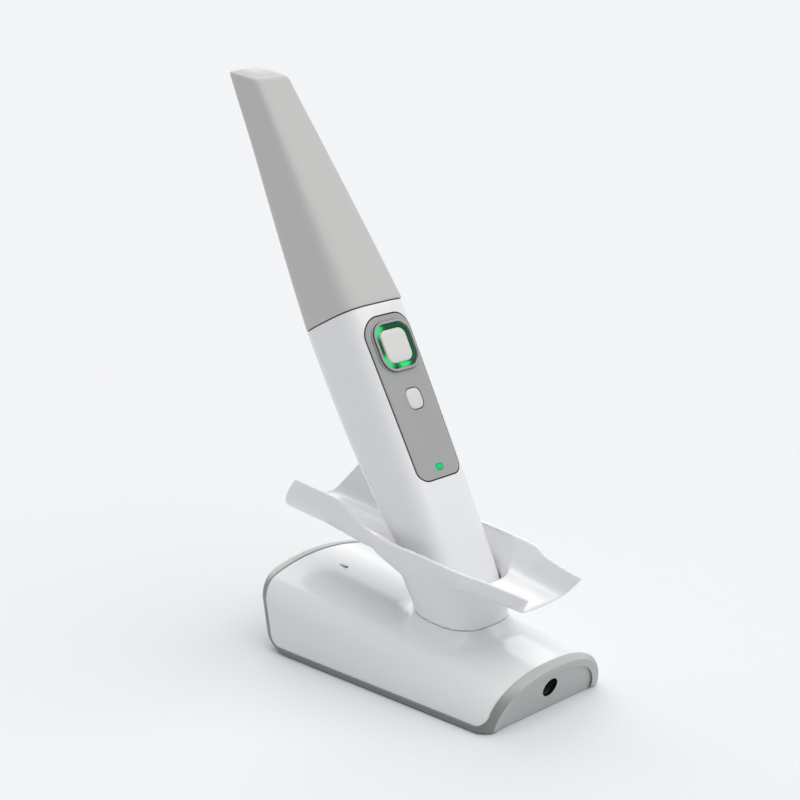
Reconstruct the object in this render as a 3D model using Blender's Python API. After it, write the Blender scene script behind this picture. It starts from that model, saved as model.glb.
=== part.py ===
# Cordless intraoral scanner standing in its charging dock.
# Sizes are millimetres. +Z is up, the buttons and the power jack face -Y, and the origin is the middle of the
# anti-slip pad under the dock. The handpiece leans back in the dock's cradle.
import math

import bmesh
import bpy
from mathutils import Vector

MM = 0.001
FIT = 0.3                    # clearance between pieces that touch
ROUND = 24                   # points round a moulded section

# Handpiece, along its own axis from the tail upwards
LEAN = math.radians(28.3)
TAIL_Y = -15.2
TAIL_Z = 36.0
HOUSING_LENGTH = 137.1
HOUSING_DEPTH = 39.0
HOUSING_HALF_WIDTH = 19.7
TAIL_HALF_WIDTH = 17.2
TAIL_FRONT_STEP = 1.5        # how far the front face falls back at the tail
TAIL_BACK_STEP = 14.0        # how far the back face comes forward at the tail
TAIL_ROUNDING = 3.0
HOUSING_WALL = 2.6
TAIL_CAP_HEIGHT = 4.0
TAIL_PLUG_HEIGHT = 4.0
SEAL_THICKNESS = 0.8
SEAL_WIDTH = 1.6
SEAL_INSET = 0.5

# Tip sleeve and nose
TIP_FRONT_LENGTH = 114.5     # from the seam to the front edge of the head
TIP_BACK_LENGTH = 127.0      # from the seam to the back edge of the head
TIP_HEAD_HALF_WIDTH = 10.6
TIP_HEAD_FRONT = -4.7
TIP_HEAD_BACK = 13.0
TIP_HEAD_ROUNDING = 1.8
TIP_DOME = 1.6               # rise of the middle of the head's end face
TIP_WALL = 1.7
TIP_END_WALL = 2.2
TIP_CLEARANCE = 0.9          # between the sleeve and the nose inside it
WINDOW_WIDTH = 14.0
WINDOW_HEIGHT = 16.0
WINDOW_DROP = 13.0           # from the head's back edge down to the middle of the window
MIRROR_SIZE = 13.0
MIRROR_THICKNESS = 1.0
NOSE_LENGTH = 72.0
NOSE_ROOT = 8.0              # length of the nose inside the housing
NOSE_WALL = 1.6
NOSE_WINDOW_THICKNESS = 1.2
BRIDGE_THICKNESS = 5.0
BRIDGE_DEPTH = 1.0           # from the seam down to the top of the optics bridge
BARREL_SPACING = 12.0
BARREL_SHIFT = 2.0           # how far the pair of barrels stands behind the handpiece's axis
CAMERA_RADIUS = 4.6
PROJECTOR_RADIUS = 3.8
BARREL_LENGTH = 38.0
BARREL_TAIL = 12.0           # length of a barrel below the bridge's middle

# Control panel and its controls, measured along the handpiece from the tail
PANEL_SEAM_GAP = 5.5         # from the panel's top edge to the seam
SCAN_DROP = 14.6             # from the panel's top edge down to the middle of the scan button
MODE_DROP = 25.1             # from the scan button down to the mode button
LENS_DROP = 32.4             # from the mode button down to the status lens
PANEL_END_DROP = 4.7         # from the status lens down to the panel's bottom edge
PANEL_TOP = HOUSING_LENGTH - PANEL_SEAM_GAP
SCAN_POSITION = PANEL_TOP - SCAN_DROP
MODE_POSITION = SCAN_POSITION - MODE_DROP
LENS_POSITION = MODE_POSITION - LENS_DROP
PANEL_BOTTOM = LENS_POSITION - PANEL_END_DROP
PANEL_TOP_HALF_WIDTH = 14.3
PANEL_BOTTOM_HALF_WIDTH = 13.2
PANEL_TOP_RADIUS = 9.0
PANEL_BOTTOM_RADIUS = 5.5
PANEL_THICKNESS = 1.4
PANEL_PROUD = 0.1
PANEL_LEDGE = 2.2
SCAN_SIZE = 14.3
SCAN_RADIUS = 3.6
SCAN_HEIGHT = 1.1            # how far the scan button stands out of the front line
SCAN_TRAVEL = 0.8
RING_SIZE = 20.2
RING_RADIUS = 6.2
RING_HEIGHT = 0.9
RING_FLANGE = 1.0
BEZEL_WIDTH = 1.3
BEZEL_HEIGHT = 1.0
BEZEL_EDGE = 0.4
MODE_WIDTH = 9.0
MODE_LENGTH = 9.6
MODE_RADIUS = 3.2
MODE_HEIGHT = 0.4
MODE_TRAVEL = 0.5
LENS_WIDTH = 4.2
LENS_LENGTH = 2.6
LENS_DEPTH = 3.0
CAP_FLANGE = 0.8             # rim that keeps a button behind its opening
BOARD_DEPTH = 8.5            # from the front line in to the circuit board
BOARD_THICKNESS = 1.2
BOARD_HALF_WIDTH = 11.0
BOARD_LENS_GAP = 4.0         # from the middle of the status lens up to the board's lower edge
BOARD_SCAN_REACH = 6.5       # from the middle of the scan button up to the board's upper edge
BOARD_BOTTOM = LENS_POSITION + BOARD_LENS_GAP
BOARD_TOP = SCAN_POSITION + BOARD_SCAN_REACH
SWITCH_SIZE = 6.0
SWITCH_HEIGHT = 2.5
POST_RADIUS = 1.6
BATTERY_RADIUS = 8.2
BATTERY_GAP = 7.2            # from the battery's top to the board's lower edge
PAD_LENGTH = 3.4
PAD_WIDTH = 2.4
PAD_THICKNESS = 0.8
CONTACT_SPACING = 7.0

# Dock
DOCK_FRONT = -67.8           # front end at the table, before its lean
DOCK_BACK = 71.8
DOCK_FRONT_LEAN = math.radians(16.0)
DOCK_BACK_LEAN = math.radians(10.0)
BORDER_LEAN = math.radians(11.0)   # of the line between the shell and the front band
DOCK_HALF_WIDTH = 39.0       # at the back end
DOCK_FRONT_HALF_WIDTH = 39.0
DOCK_FRONT_HEIGHT = 22.9
DOCK_BACK_HEIGHT = 39.5
DOCK_FRONT_POWER = 2.25      # squareness of the low arch at the front end
DOCK_SHOULDER = 12.0         # at the back end
DOCK_CROWN_RADIUS = 110.0
DOCK_FRONT_TAPER = 4.4       # how much each flank draws in towards the front face
DOCK_FRONT_CROWN_TAPER = 0.7
DOCK_FRONT_TAPER_RUN = 5.2
DOCK_PLAN_RADIUS = 8.5       # of the back end
DOCK_TOP_ROUNDING = 3.0
DOCK_FRONT_TOE = 2.0         # rounding of the lower edge at the front end
DOCK_BACK_TOE = 8.0
DOCK_TOE_STRETCH = 1.4       # length of the back toe over its height
CHASSIS_PROUD = 0.4
CHASSIS_WALL = 3.0
CHASSIS_BOTTOM = 0.3
RAIL_TOP = 3.1
FRONT_BAND = 3.0             # at the table; it widens upwards
BACK_BAND = 3.0
SADDLE_RADIUS = 4.2
SHELL_WALL = 2.6
RECESS_RIM = 3.8
RECESS_DEPTH = 1.7
RECESS_FOOT = 1.5
PAD_TOP = 0.9                # anti-slip pad
PAD_INSET = 12.0
PAD_CORNER = 8.0
BASE_THICKNESS = 1.6
BOSS_RADIUS = 3.6
BOSS_HEIGHT = 7.0
BOSS_SIDE_GAP = 10.5         # from a boss to the dock's flank
BOSS_FRONT_GAP = 10.4
BOSS_BACK_GAP = 17.8
SCREW_RADIUS = 1.5
SCREW_HEAD_RADIUS = 2.8
SCREW_HEAD_HEIGHT = 0.8
SCREW_LENGTH = 6.0
JACK_RADIUS = 4.6            # hole in the chassis
JACK_HEIGHT = 11.3
JACK_BODY_WIDTH = 10.4
JACK_BODY_HEIGHT = 10.4
JACK_BODY_LENGTH = 13.0
JACK_BORE = 3.2
JACK_PIN = 1.0
JACK_BORE_DEPTH = 9.0
JACK_PIN_DROP = 2.4          # from the jack's front face back to the end of its pin
DOCK_BOARD_WIDTH = 34.0
DOCK_BOARD_LENGTH = 28.0
DOCK_BOARD_THICKNESS = 1.5
BALLAST_WIDTH = 52.0
BALLAST_LENGTH = 50.0
BALLAST_HEIGHT = 8.0
BALLAST_Y = 22.0
INDICATOR_X = -4.0
INDICATOR_Y = 53.0
INDICATOR_WIDTH = 1.6
INDICATOR_LENGTH = 4.4
INDICATOR_DEPTH = 4.0

# Cradle
SLOPE = 0.1                  # fall of the tray towards the front
SEAM_HEIGHT = 34.5           # plane where the neck stands on the dock, at y = 0
NECK_HALF_WIDTH = 20.2
NECK_FRONT = -37.0
NECK_BACK = 1.0
MOUND_PROFILE = ((14.0, -2.5), (10.0, -0.15), (7.5, 0.25), (5.2, 0.8), (3.2, 1.8), (1.5, 3.1))
SPIGOT_INSET = 2.6
SPIGOT_DEPTH = 7.5
CHEEK_HALF_WIDTH = 24.0
CHEEK_BACK = 31.0
CHEEK_FORWARD = 1.0          # how far the neck's front leans out below the tray
CHEEK_PROFILE = ((44, 0.13, 0.18, 0.4), (51, 0.32, 0.37, 0.8), (55, 0.58, 0.77, 1), (58, 0.82, 0.93, 1),
                 (62, 1, 1, 1))
TRAY_FRONT = -65.0
TRAY_BACK = 80.0
TRAY_HEIGHT = 54.4           # underside of the tray at y = 0
TRAY_THICKNESS = 2.4
TRAY_END_LEAN = 0.78         # both ends of the tray lean forward by this much for each millimetre up
TRAY_FRONT_HALF_WIDTH = 19.0
TRAY_HALF_WIDTH = 24.2
TRAY_SAG = 1.5
TRAY_POWER = 2.7             # squareness of the tray's section
LOW_WALL = 11.2
HIGH_WALL = 19.0
WALL_RISE_START = 24.0       # station where the side wall starts to rise towards the back
WALL_RISE_RUN = 32.0
LIP_DROP = 1.2               # how much lower the wall is at the front lip
LIP_START = -25.0
LIP_RUN = 40.0
TAPER_START = -22.0          # station where the front half of the tray starts to narrow
TAPER_RUN = 46.0
MOUTH_PROFILE = ((49.7, 17.9, -31.8, 3.0, 3.0), (53.0, 18.9, -34.5, 8.0, 3.2), (56.4, 19.8, -37.5, 13.0, 3.5),
                 (58.0, 20.6, -37.7, 14.0, 7.0), (62.0, 21.0, -37.7, 17.0, 8.0))
SOCKET_CLEARANCE = 0.5
SOCKET_FLOOR = 3.0
HOLLOW_FRONT = -30.5
HOLLOW_BACK = -8.0
GROOVE_HALF_WIDTH = 7.8
GROOVE_END = 57.0
GROOVE_DEPTH = 1.1
CLAMP_THICKNESS = 2.0
CLAMP_RIM = 3.0
CONTACT_BLOCK_LENGTH = 14.0
CONTACT_BLOCK_WIDTH = 6.0
CONTACT_FLANGE = 2.0
PIN_RADIUS = 0.9


def clear_scene():
    for item in list(bpy.data.objects):
        bpy.data.objects.remove(item, do_unlink=True)


def make_material(name, colour, roughness, metallic=0.0):
    material = bpy.data.materials.new(name)
    material.use_nodes = True
    shader = material.node_tree.nodes["Principled BSDF"]
    shader.inputs["Base Color"].default_value = (*colour, 1.0)
    shader.inputs["Roughness"].default_value = roughness
    shader.inputs["Metallic"].default_value = metallic
    return material


def make_frame(name, location, rotation, parent=None):
    frame = bpy.data.objects.new(name, None)
    bpy.context.collection.objects.link(frame)
    frame.location = Vector(location) * MM
    frame.rotation_euler = rotation
    frame.parent = parent
    return frame


def add_object(name, bm, material, parent=None):
    bmesh.ops.recalc_face_normals(bm, faces=bm.faces)
    mesh = bpy.data.meshes.new(name)
    bm.to_mesh(mesh)
    bm.free()
    mesh.shade_smooth()
    mesh.set_sharp_from_angle(angle=math.radians(35))
    item = bpy.data.objects.new(name, mesh)
    bpy.context.collection.objects.link(item)
    item.parent = parent
    if material:
        mesh.materials.append(material)
    else:
        item.hide_render = True
        item.display_type = "WIRE"
    return item


# Skin over a row of rings with equal numbers of points. A loop of rings has no ends, or else both are capped.
# A ladder cap is made of strips between the matching points of the ring's two halves.
def loft(name, rings, material, parent=None, loop=False, ladder=False):
    bm = bmesh.new()
    rows = [[bm.verts.new(Vector(point) * MM) for point in ring] for ring in rings]
    pairs = list(zip(rows, rows[1:]))
    if loop:
        pairs.append((rows[-1], rows[0]))
    for low, high in pairs:
        for k in range(len(low)):
            n = (k + 1) % len(low)
            bm.faces.new((low[k], low[n], high[n], high[k]))
    for row in () if loop else (rows[0], rows[-1]):
        if ladder:
            for k in range(len(row) // 2):
                corners = (row[k], row[k + 1], row[-2 - k], row[-1 - k])
                bm.faces.new(list(dict.fromkeys(corners)))
        else:
            bm.faces.new(row)
    bmesh.ops.triangulate(bm, faces=[face for face in bm.faces if len(face.verts) > 3])
    return add_object(name, bm, material, parent)


def cylinder(name, radius, low, high, material, parent=None, centre=(0, 0), segments=16):
    bm = bmesh.new()
    bmesh.ops.create_cone(bm, cap_ends=True, segments=segments, radius1=radius * MM, radius2=radius * MM,
                          depth=(high - low) * MM)
    bmesh.ops.translate(bm, verts=bm.verts, vec=Vector((*centre, (low + high) / 2)) * MM)
    return add_object(name, bm, material, parent)


def boolean(target, other, operation):
    modifier = target.modifiers.new(operation.title(), "BOOLEAN")
    modifier.operation = operation
    modifier.solver = "EXACT"
    modifier.object = other
    return target


def cut(target, *cutters):
    for cutter in cutters:
        boolean(target, cutter, "DIFFERENCE")
    return target


def fuse(target, *others):
    for other in others:
        boolean(target, other, "UNION")
    return target


def keep(target, other):
    return boolean(target, other, "INTERSECT")


# Rounded rectangle in X and Y, counter-clockwise, as a flat ring at one height.
def rounded_ring(half_x, half_y, radius, height, centre=(0, 0), steps=4):
    ring = []
    for corner, (sx, sy) in enumerate(((1, 1), (-1, 1), (-1, -1), (1, -1))):
        for step in range(steps + 1):
            angle = math.radians(90) * (corner + step / steps)
            ring.append((centre[0] + sx * (half_x - radius) + radius * math.cos(angle),
                         centre[1] + sy * (half_y - radius) + radius * math.sin(angle), height))
    return ring


def rounded_block(name, half_x, half_y, radius, low, high, material, parent=None, centre=(0, 0), steps=3):
    rings = [rounded_ring(half_x, half_y, radius, height, centre, steps) for height in (low, high)]
    return loft(name, rings, material, parent)


# Oval with flattened sides in X and Y. The plane of the ring may slope along Y.
def oval_ring(half_width, front, back, height, slope=0.0, front_power=4.0, back_power=3.0):
    middle = (front + back) / 2
    half_depth = (back - front) / 2
    ring = []
    for k in range(ROUND):
        angle = 2 * math.pi * (k + 0.5) / ROUND
        power = 2 / (back_power if math.sin(angle) > 0 else front_power)
        x = half_width * math.copysign(abs(math.cos(angle)) ** power, math.cos(angle))
        y = middle + half_depth * math.copysign(abs(math.sin(angle)) ** power, math.sin(angle))
        ring.append((x, y, height + slope * y))
    return ring


# Section of the handpiece's housing at a height above the tail, grown by an offset.
def housing_ring(height, offset=0.0):
    rest = max(0.0, 1 - height / HOUSING_LENGTH)
    half_width = HOUSING_HALF_WIDTH - (HOUSING_HALF_WIDTH - TAIL_HALF_WIDTH) * rest ** 3
    front = -HOUSING_DEPTH / 2 + TAIL_FRONT_STEP * rest ** 4
    back = HOUSING_DEPTH / 2 - TAIL_BACK_STEP * rest ** 2.2
    return oval_ring(half_width + offset, front - offset, back + offset, height)


def housing_loft(name, low, high, offset, material, parent, steps=6):
    rings = [housing_ring(low + (high - low) * k / steps, offset) for k in range(steps + 1)]
    return loft(name, rings, material, parent)


SEAM_TOP = HOUSING_LENGTH + SEAL_THICKNESS + 2 * FIT


# Section of the tip sleeve at a share of its height, grown by an offset. The head end slopes up to the back.
def tip_ring(share, offset=0.0, drop=0.0):
    half_width = HOUSING_HALF_WIDTH + (TIP_HEAD_HALF_WIDTH - HOUSING_HALF_WIDTH) * share
    front = -HOUSING_DEPTH / 2 + (TIP_HEAD_FRONT + HOUSING_DEPTH / 2) * share
    back = HOUSING_DEPTH / 2 + (TIP_HEAD_BACK - HOUSING_DEPTH / 2) * share
    slope = (TIP_BACK_LENGTH - TIP_FRONT_LENGTH) / (TIP_HEAD_BACK - TIP_HEAD_FRONT) * max(0.0, share * 4 - 3)
    height = SEAM_TOP + TIP_FRONT_LENGTH * share - slope * TIP_HEAD_FRONT - drop
    return oval_ring(half_width + offset, front - offset, back + offset, height, slope, 4.5 + 2.5 * share,
                     3 + 2 * share)


def build_tip(frame, grey, mirror):
    shares = (0.0, 0.2, 0.4, 0.6, 0.75, 0.85, 0.93, 1.0)
    outer = [tip_ring(share) for share in shares[:-1]]
    for angle in (0, 45, 90):
        inset = TIP_HEAD_ROUNDING * (1 - math.cos(math.radians(angle)))
        drop = TIP_HEAD_ROUNDING * (1 - math.sin(math.radians(angle)))
        outer.append(tip_ring(1.0, -inset, drop))
    for inset, rise in ((4.2, 0.6), (6.6, 1.0)):
        outer.append(tip_ring(1.0, -inset, -TIP_DOME * rise))
    sleeve = loft("tip_sleeve", outer, grey, frame)
    inner = [tip_ring(share, -TIP_WALL, TIP_END_WALL if share else FIT + 1)
             for share in (0.0, 0.4, *shares[4:])]
    hollow = loft("tip_hollow", inner, None, frame)
    window_middle = SEAM_TOP + TIP_BACK_LENGTH - WINDOW_DROP
    window_frame = make_frame("window_frame", (0, TIP_HEAD_BACK - TIP_WALL, window_middle),
                              (math.radians(90), 0, 0), frame)
    window = rounded_block("tip_window", WINDOW_WIDTH / 2, WINDOW_HEIGHT / 2, 3.0, -3 * TIP_WALL,
                           TIP_WALL / 2, None, window_frame)
    cut(sleeve, hollow, window)
    slope = (TIP_BACK_LENGTH - TIP_FRONT_LENGTH) / (TIP_HEAD_BACK - TIP_HEAD_FRONT)
    tilt = math.atan(slope)
    middle_y = (TIP_HEAD_FRONT + TIP_HEAD_BACK) / 2
    middle_z = SEAM_TOP + (TIP_FRONT_LENGTH + TIP_BACK_LENGTH) / 2 - TIP_END_WALL
    mirror_frame = make_frame("mirror_frame", (0, middle_y, middle_z), (tilt, 0, 0), frame)
    rounded_block("tip_mirror", MIRROR_SIZE / 2, MIRROR_SIZE / 2, 2.0, -FIT - MIRROR_THICKNESS, -FIT, mirror,
                  mirror_frame)


def nose_ring(share, offset):
    return tip_ring(share, -TIP_WALL - TIP_CLEARANCE + offset)


def build_nose(frame, plastic, glass, metal, black):
    top_share = NOSE_LENGTH / TIP_FRONT_LENGTH
    root = HOUSING_LENGTH - NOSE_ROOT
    root_offset = -HOUSING_WALL - FIT
    outer = [housing_ring(root, root_offset), housing_ring(HOUSING_LENGTH - 1, root_offset)]
    outer += [nose_ring(top_share * share, 0) for share in (0.02, 0.35, 0.7, 1.0)]
    nose = loft("nose_tube", outer, plastic, frame)
    inner = [housing_ring(root - 1, root_offset - NOSE_WALL),
             housing_ring(HOUSING_LENGTH - 1, root_offset - NOSE_WALL)]
    inner += [nose_ring(top_share * share, -NOSE_WALL) for share in (0.02, 0.35, 0.7, 1.05)]
    cut(nose, loft("nose_hollow", inner, None, frame))

    glass_low = top_share - (NOSE_WINDOW_THICKNESS + FIT) / TIP_FRONT_LENGTH
    window = [nose_ring(share, -NOSE_WALL - FIT) for share in (glass_low, top_share - FIT / TIP_FRONT_LENGTH)]
    loft("nose_window", window, glass, frame)

    bridge_top = HOUSING_LENGTH - BRIDGE_DEPTH
    bridge_offset = root_offset - NOSE_WALL - FIT
    bridge = housing_loft("optics_bridge", bridge_top - BRIDGE_THICKNESS, bridge_top, bridge_offset, metal,
                          frame, 1)
    barrel_low = bridge_top - BARREL_TAIL
    barrels = (("camera_barrel", CAMERA_RADIUS, BARREL_SHIFT - BARREL_SPACING / 2),
               ("projector_barrel", PROJECTOR_RADIUS, BARREL_SHIFT + BARREL_SPACING / 2))
    for name, radius, y in barrels:
        cut(bridge, cylinder(name + "_bore", radius + FIT, bridge_top - 2 * BRIDGE_THICKNESS,
                             bridge_top + BRIDGE_THICKNESS, None, frame, (0, y)))
        cylinder(name, radius, barrel_low, barrel_low + BARREL_LENGTH, black, frame, (0, y))


def build_seal(frame, rubber):
    low = HOUSING_LENGTH + FIT
    high = low + SEAL_THICKNESS
    rings = [housing_ring(HOUSING_LENGTH, offset) for offset in (-SEAL_INSET, -SEAL_INSET - SEAL_WIDTH)]
    outer, inner = rings
    loop = [[(x, y, z) for x, y, _ in ring]
            for ring, z in ((outer, low), (outer, high), (inner, high), (inner, low))]
    loft("seal_ring", loop, rubber, frame, loop=True)


def panel_outline(grow, height):
    bottom = PANEL_BOTTOM - grow
    top = PANEL_TOP + grow
    corners = ((PANEL_TOP_HALF_WIDTH + grow, top, PANEL_TOP_RADIUS + grow, 1, 1),
               (PANEL_TOP_HALF_WIDTH + grow, top, PANEL_TOP_RADIUS + grow, -1, 1),
               (PANEL_BOTTOM_HALF_WIDTH + grow, bottom, PANEL_BOTTOM_RADIUS + grow, -1, -1),
               (PANEL_BOTTOM_HALF_WIDTH + grow, bottom, PANEL_BOTTOM_RADIUS + grow, 1, -1))
    steps = 6
    ring = []
    for corner, (half, end, radius, sx, sy) in enumerate(corners):
        for step in range(steps + 1):
            angle = math.radians(90) * (corner + step / steps)
            ring.append((sx * (half - radius) + radius * math.cos(angle),
                         end - sy * radius + radius * math.sin(angle), height))
    return ring


def panel_prism(name, grow, low, high, parent):
    return loft(name, [panel_outline(grow, low), panel_outline(grow, high)], None, parent)


def build_housing(frame, panel_frame, white):
    low = TAIL_CAP_HEIGHT + FIT
    housing = housing_loft("housing", low, HOUSING_LENGTH, 0, white, frame)
    hollow = housing_loft("housing_hollow", low - 1, HOUSING_LENGTH + 1, -HOUSING_WALL, None, frame)
    pocket = panel_prism("panel_pocket", FIT, -HOUSING_DEPTH / 3, HOUSING_DEPTH / 6, panel_frame)
    pocket_floor = housing_loft("pocket_floor", low - 1, HOUSING_LENGTH - 1, -PANEL_THICKNESS - FIT, None,
                                frame)
    cut(pocket, pocket_floor)
    window = panel_prism("panel_window", -PANEL_LEDGE, -HOUSING_DEPTH / 3, HOUSING_DEPTH / 6, panel_frame)
    cut(housing, hollow, pocket, window)


def build_panel(frame, panel_frame, grey):
    panel = panel_prism("control_panel", 0, -HOUSING_DEPTH / 3, HOUSING_DEPTH / 6, panel_frame)
    panel.data.materials.append(grey)
    panel.hide_render = False
    panel.display_type = "TEXTURED"
    skin = housing_loft("panel_skin", 1, HOUSING_LENGTH - 1, PANEL_PROUD, None, frame)
    core = housing_loft("panel_core", 0, HOUSING_LENGTH, -PANEL_THICKNESS, None, frame)
    keep(panel, skin)
    cut(panel, core)
    bezel = RING_SIZE / 2 + FIT + BEZEL_WIDTH
    rim_rings = []
    for inset, height in ((0, -PANEL_THICKNESS), (0, BEZEL_HEIGHT - BEZEL_EDGE), (BEZEL_EDGE, BEZEL_HEIGHT)):
        rim_rings.append(rounded_ring(bezel - inset, bezel - inset, RING_RADIUS + BEZEL_WIDTH - inset, height,
                                      (0, SCAN_POSITION)))
    fuse(panel, loft("bezel_rim", rim_rings, None, panel_frame))
    for k, (x, y) in enumerate(post_places()):
        fuse(panel, cylinder(f"panel_post_{k + 1}", POST_RADIUS, -BOARD_DEPTH + FIT, -PANEL_THICKNESS / 2,
                             None, panel_frame, (x, y), 12))
    ring_half = RING_SIZE / 2 + FIT
    reach = 2 * PANEL_THICKNESS
    ring_hole = rounded_block("ring_hole", ring_half, ring_half, RING_RADIUS, -2 * reach, reach, None,
                              panel_frame, (0, SCAN_POSITION), 4)
    mode_hole = rounded_block("mode_hole", MODE_WIDTH / 2 + FIT, MODE_LENGTH / 2 + FIT, MODE_RADIUS + FIT,
                              -reach, reach, None, panel_frame, (0, MODE_POSITION))
    lens_hole = rounded_block("lens_hole", LENS_WIDTH / 2 + FIT, LENS_LENGTH / 2 + FIT, 1.0 + FIT, -reach,
                              reach, None, panel_frame, (0, LENS_POSITION))
    cut(panel, ring_hole, mode_hole, lens_hole)


def post_places():
    beside = (SCAN_POSITION - RING_SIZE / 2 - FIT - RING_FLANGE + MODE_POSITION + MODE_LENGTH / 2) / 2
    return ((-PANEL_BOTTOM_HALF_WIDTH * 0.7, beside), (PANEL_BOTTOM_HALF_WIDTH * 0.7, beside),
            (0, BOARD_BOTTOM + 2 * POST_RADIUS))


# A button is one moulding: cap with a softened edge, retaining flange and the stem that works the switch.
def button(name, half_x, half_y, radius, top, flange_top, travel, material, panel_frame, position):
    flange_bottom = flange_top - CAP_FLANGE
    stem_end = -BOARD_DEPTH + SWITCH_HEIGHT + FIT + travel
    centre = (0, position)
    grown = CAP_FLANGE
    profile = ((-1.0, top), (-0.3, top - 0.15), (0, top - 0.6), (0, flange_top), (grown, flange_top),
               (grown, flange_bottom))
    rings = [rounded_ring(half_x + grow, half_y + grow, max(radius + grow, 1.0), height, centre)
             for grow, height in profile]
    stem = SWITCH_SIZE / 4
    rings += [rounded_ring(stem, stem, 0.8, height, centre) for height in (flange_bottom, stem_end)]
    return loft(name, rings, material, panel_frame)


def build_controls(panel_frame, white, green, board, black):
    ring_bottom = -PANEL_THICKNESS - 2 * FIT - RING_FLANGE - 0.4
    flange = RING_SIZE / 2 + RING_FLANGE
    outer = RING_SIZE / 2
    inner = SCAN_SIZE / 2 + FIT
    centre = (0, SCAN_POSITION)
    profile = ((flange, RING_RADIUS, ring_bottom), (flange, RING_RADIUS, ring_bottom + RING_FLANGE),
               (outer, RING_RADIUS - FIT, ring_bottom + RING_FLANGE), (outer, RING_RADIUS - FIT, RING_HEIGHT),
               (inner, SCAN_RADIUS + FIT, RING_HEIGHT), (inner, SCAN_RADIUS + FIT, ring_bottom))
    loft("light_ring", [rounded_ring(half, half, radius, height, centre) for half, radius, height in profile],
         green, panel_frame, loop=True)
    button("scan_button", SCAN_SIZE / 2, SCAN_SIZE / 2, SCAN_RADIUS, SCAN_HEIGHT, ring_bottom - FIT,
           SCAN_TRAVEL, white, panel_frame, SCAN_POSITION)
    button("mode_button", MODE_WIDTH / 2, MODE_LENGTH / 2, MODE_RADIUS, MODE_HEIGHT, -PANEL_THICKNESS - FIT,
           MODE_TRAVEL, white, panel_frame, MODE_POSITION)
    rounded_block("status_lens", LENS_WIDTH / 2, LENS_LENGTH / 2, 1.0, -LENS_DEPTH, PANEL_PROUD + 0.1, green,
                  panel_frame, (0, LENS_POSITION))
    board_top = -BOARD_DEPTH
    middle = (BOARD_BOTTOM + BOARD_TOP) / 2
    rounded_block("circuit_board", BOARD_HALF_WIDTH, (BOARD_TOP - BOARD_BOTTOM) / 2, 2.0,
                  board_top - BOARD_THICKNESS, board_top, board, panel_frame, (0, middle))
    for name, position in (("scan_switch", SCAN_POSITION), ("mode_switch", MODE_POSITION)):
        rounded_block(name, SWITCH_SIZE / 2, SWITCH_SIZE / 2, 0.5, board_top + FIT / 2,
                      board_top + SWITCH_HEIGHT, black, panel_frame, (0, position), 1)


def build_tail(frame, plastic, gold, blue):
    rings = []
    for angle in (0, 30, 60, 90):
        inset = TAIL_ROUNDING * (1 - math.sin(math.radians(angle)))
        height = TAIL_ROUNDING * (1 - math.cos(math.radians(angle)))
        rings.append(housing_ring(height, -inset))
    rings.append(housing_ring(TAIL_CAP_HEIGHT))
    plug = -HOUSING_WALL - FIT
    rings.append(housing_ring(TAIL_CAP_HEIGHT, plug))
    rings.append([(x, y, z + TAIL_PLUG_HEIGHT) for x, y, z in rings[-1]])
    cap = loft("tail_cap", rings, plastic, frame)
    y = pad_line()
    for side, x in (("left", -CONTACT_SPACING / 2), ("right", CONTACT_SPACING / 2)):
        cut(cap, rounded_block(f"pad_pocket_{side}", PAD_WIDTH / 2 + FIT, PAD_LENGTH / 2 + FIT, 0.6 + FIT, -1,
                               PAD_THICKNESS + FIT, None, frame, (x, y), 2))
        rounded_block(f"charging_pad_{side}", PAD_WIDTH / 2, PAD_LENGTH / 2, 0.6, 0, PAD_THICKNESS, gold,
                      frame, (x, y), 2)
    base = TAIL_CAP_HEIGHT + TAIL_PLUG_HEIGHT + FIT
    back = max(point[1] for point in housing_ring(base, -HOUSING_WALL - FIT))
    cylinder("battery", BATTERY_RADIUS, base, BOARD_BOTTOM - BATTERY_GAP, blue, frame,
             (0, back - BATTERY_RADIUS), 24)


# Middle of the tail's end face, where the charging pads and pins sit.
def pad_line():
    ring = housing_ring(0, -TAIL_ROUNDING)
    return (min(point[1] for point in ring) + max(point[1] for point in ring)) / 2


def dock_end(side, height):
    edge, lean, toe, stretch = ((DOCK_FRONT, DOCK_FRONT_LEAN, DOCK_FRONT_TOE, 1.0) if side < 0 else
                                (DOCK_BACK, DOCK_BACK_LEAN, DOCK_BACK_TOE, DOCK_TOE_STRETCH))
    low = max(0.0, min(1.0, (toe - height) / toe))
    return edge + side * (math.tan(lean) * height - toe * stretch * (1 - math.sqrt(1 - low * low)))


def dock_height(y):
    share = (y - DOCK_FRONT) / (DOCK_BACK - DOCK_FRONT)
    return DOCK_FRONT_HEIGHT + (DOCK_BACK_HEIGHT - DOCK_FRONT_HEIGHT) * share


# Height of the dock's top at a place: the low arch of the front end turns into the arch of the back end.
def crown_height(x, y):
    share = (y - DOCK_FRONT) / (DOCK_BACK - DOCK_FRONT)
    low = DOCK_FRONT_HEIGHT * (1 - abs(x / DOCK_FRONT_HALF_WIDTH) ** DOCK_FRONT_POWER) ** (1 / DOCK_FRONT_POWER)
    high = DOCK_BACK_HEIGHT - DOCK_CROWN_RADIUS + math.sqrt(DOCK_CROWN_RADIUS ** 2 - x ** 2)
    return low + (high - low) * share


# Low arch of the front end across X, with as many points as the arch below.
def low_arch(half_width, top, foot):
    base = max(foot, 0.0) + 0.5
    points = [(half_width - 0.5, foot), (half_width, foot + 0.5)]
    for k in range(1, 10):
        angle = math.radians(9) * k
        points.append((half_width * math.cos(angle) ** (2 / DOCK_FRONT_POWER),
                       base + (top - base) * math.sin(angle) ** (2 / DOCK_FRONT_POWER)))
    return points + [(0.0, top)] + [(-x, z) for x, z in reversed(points)]


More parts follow.
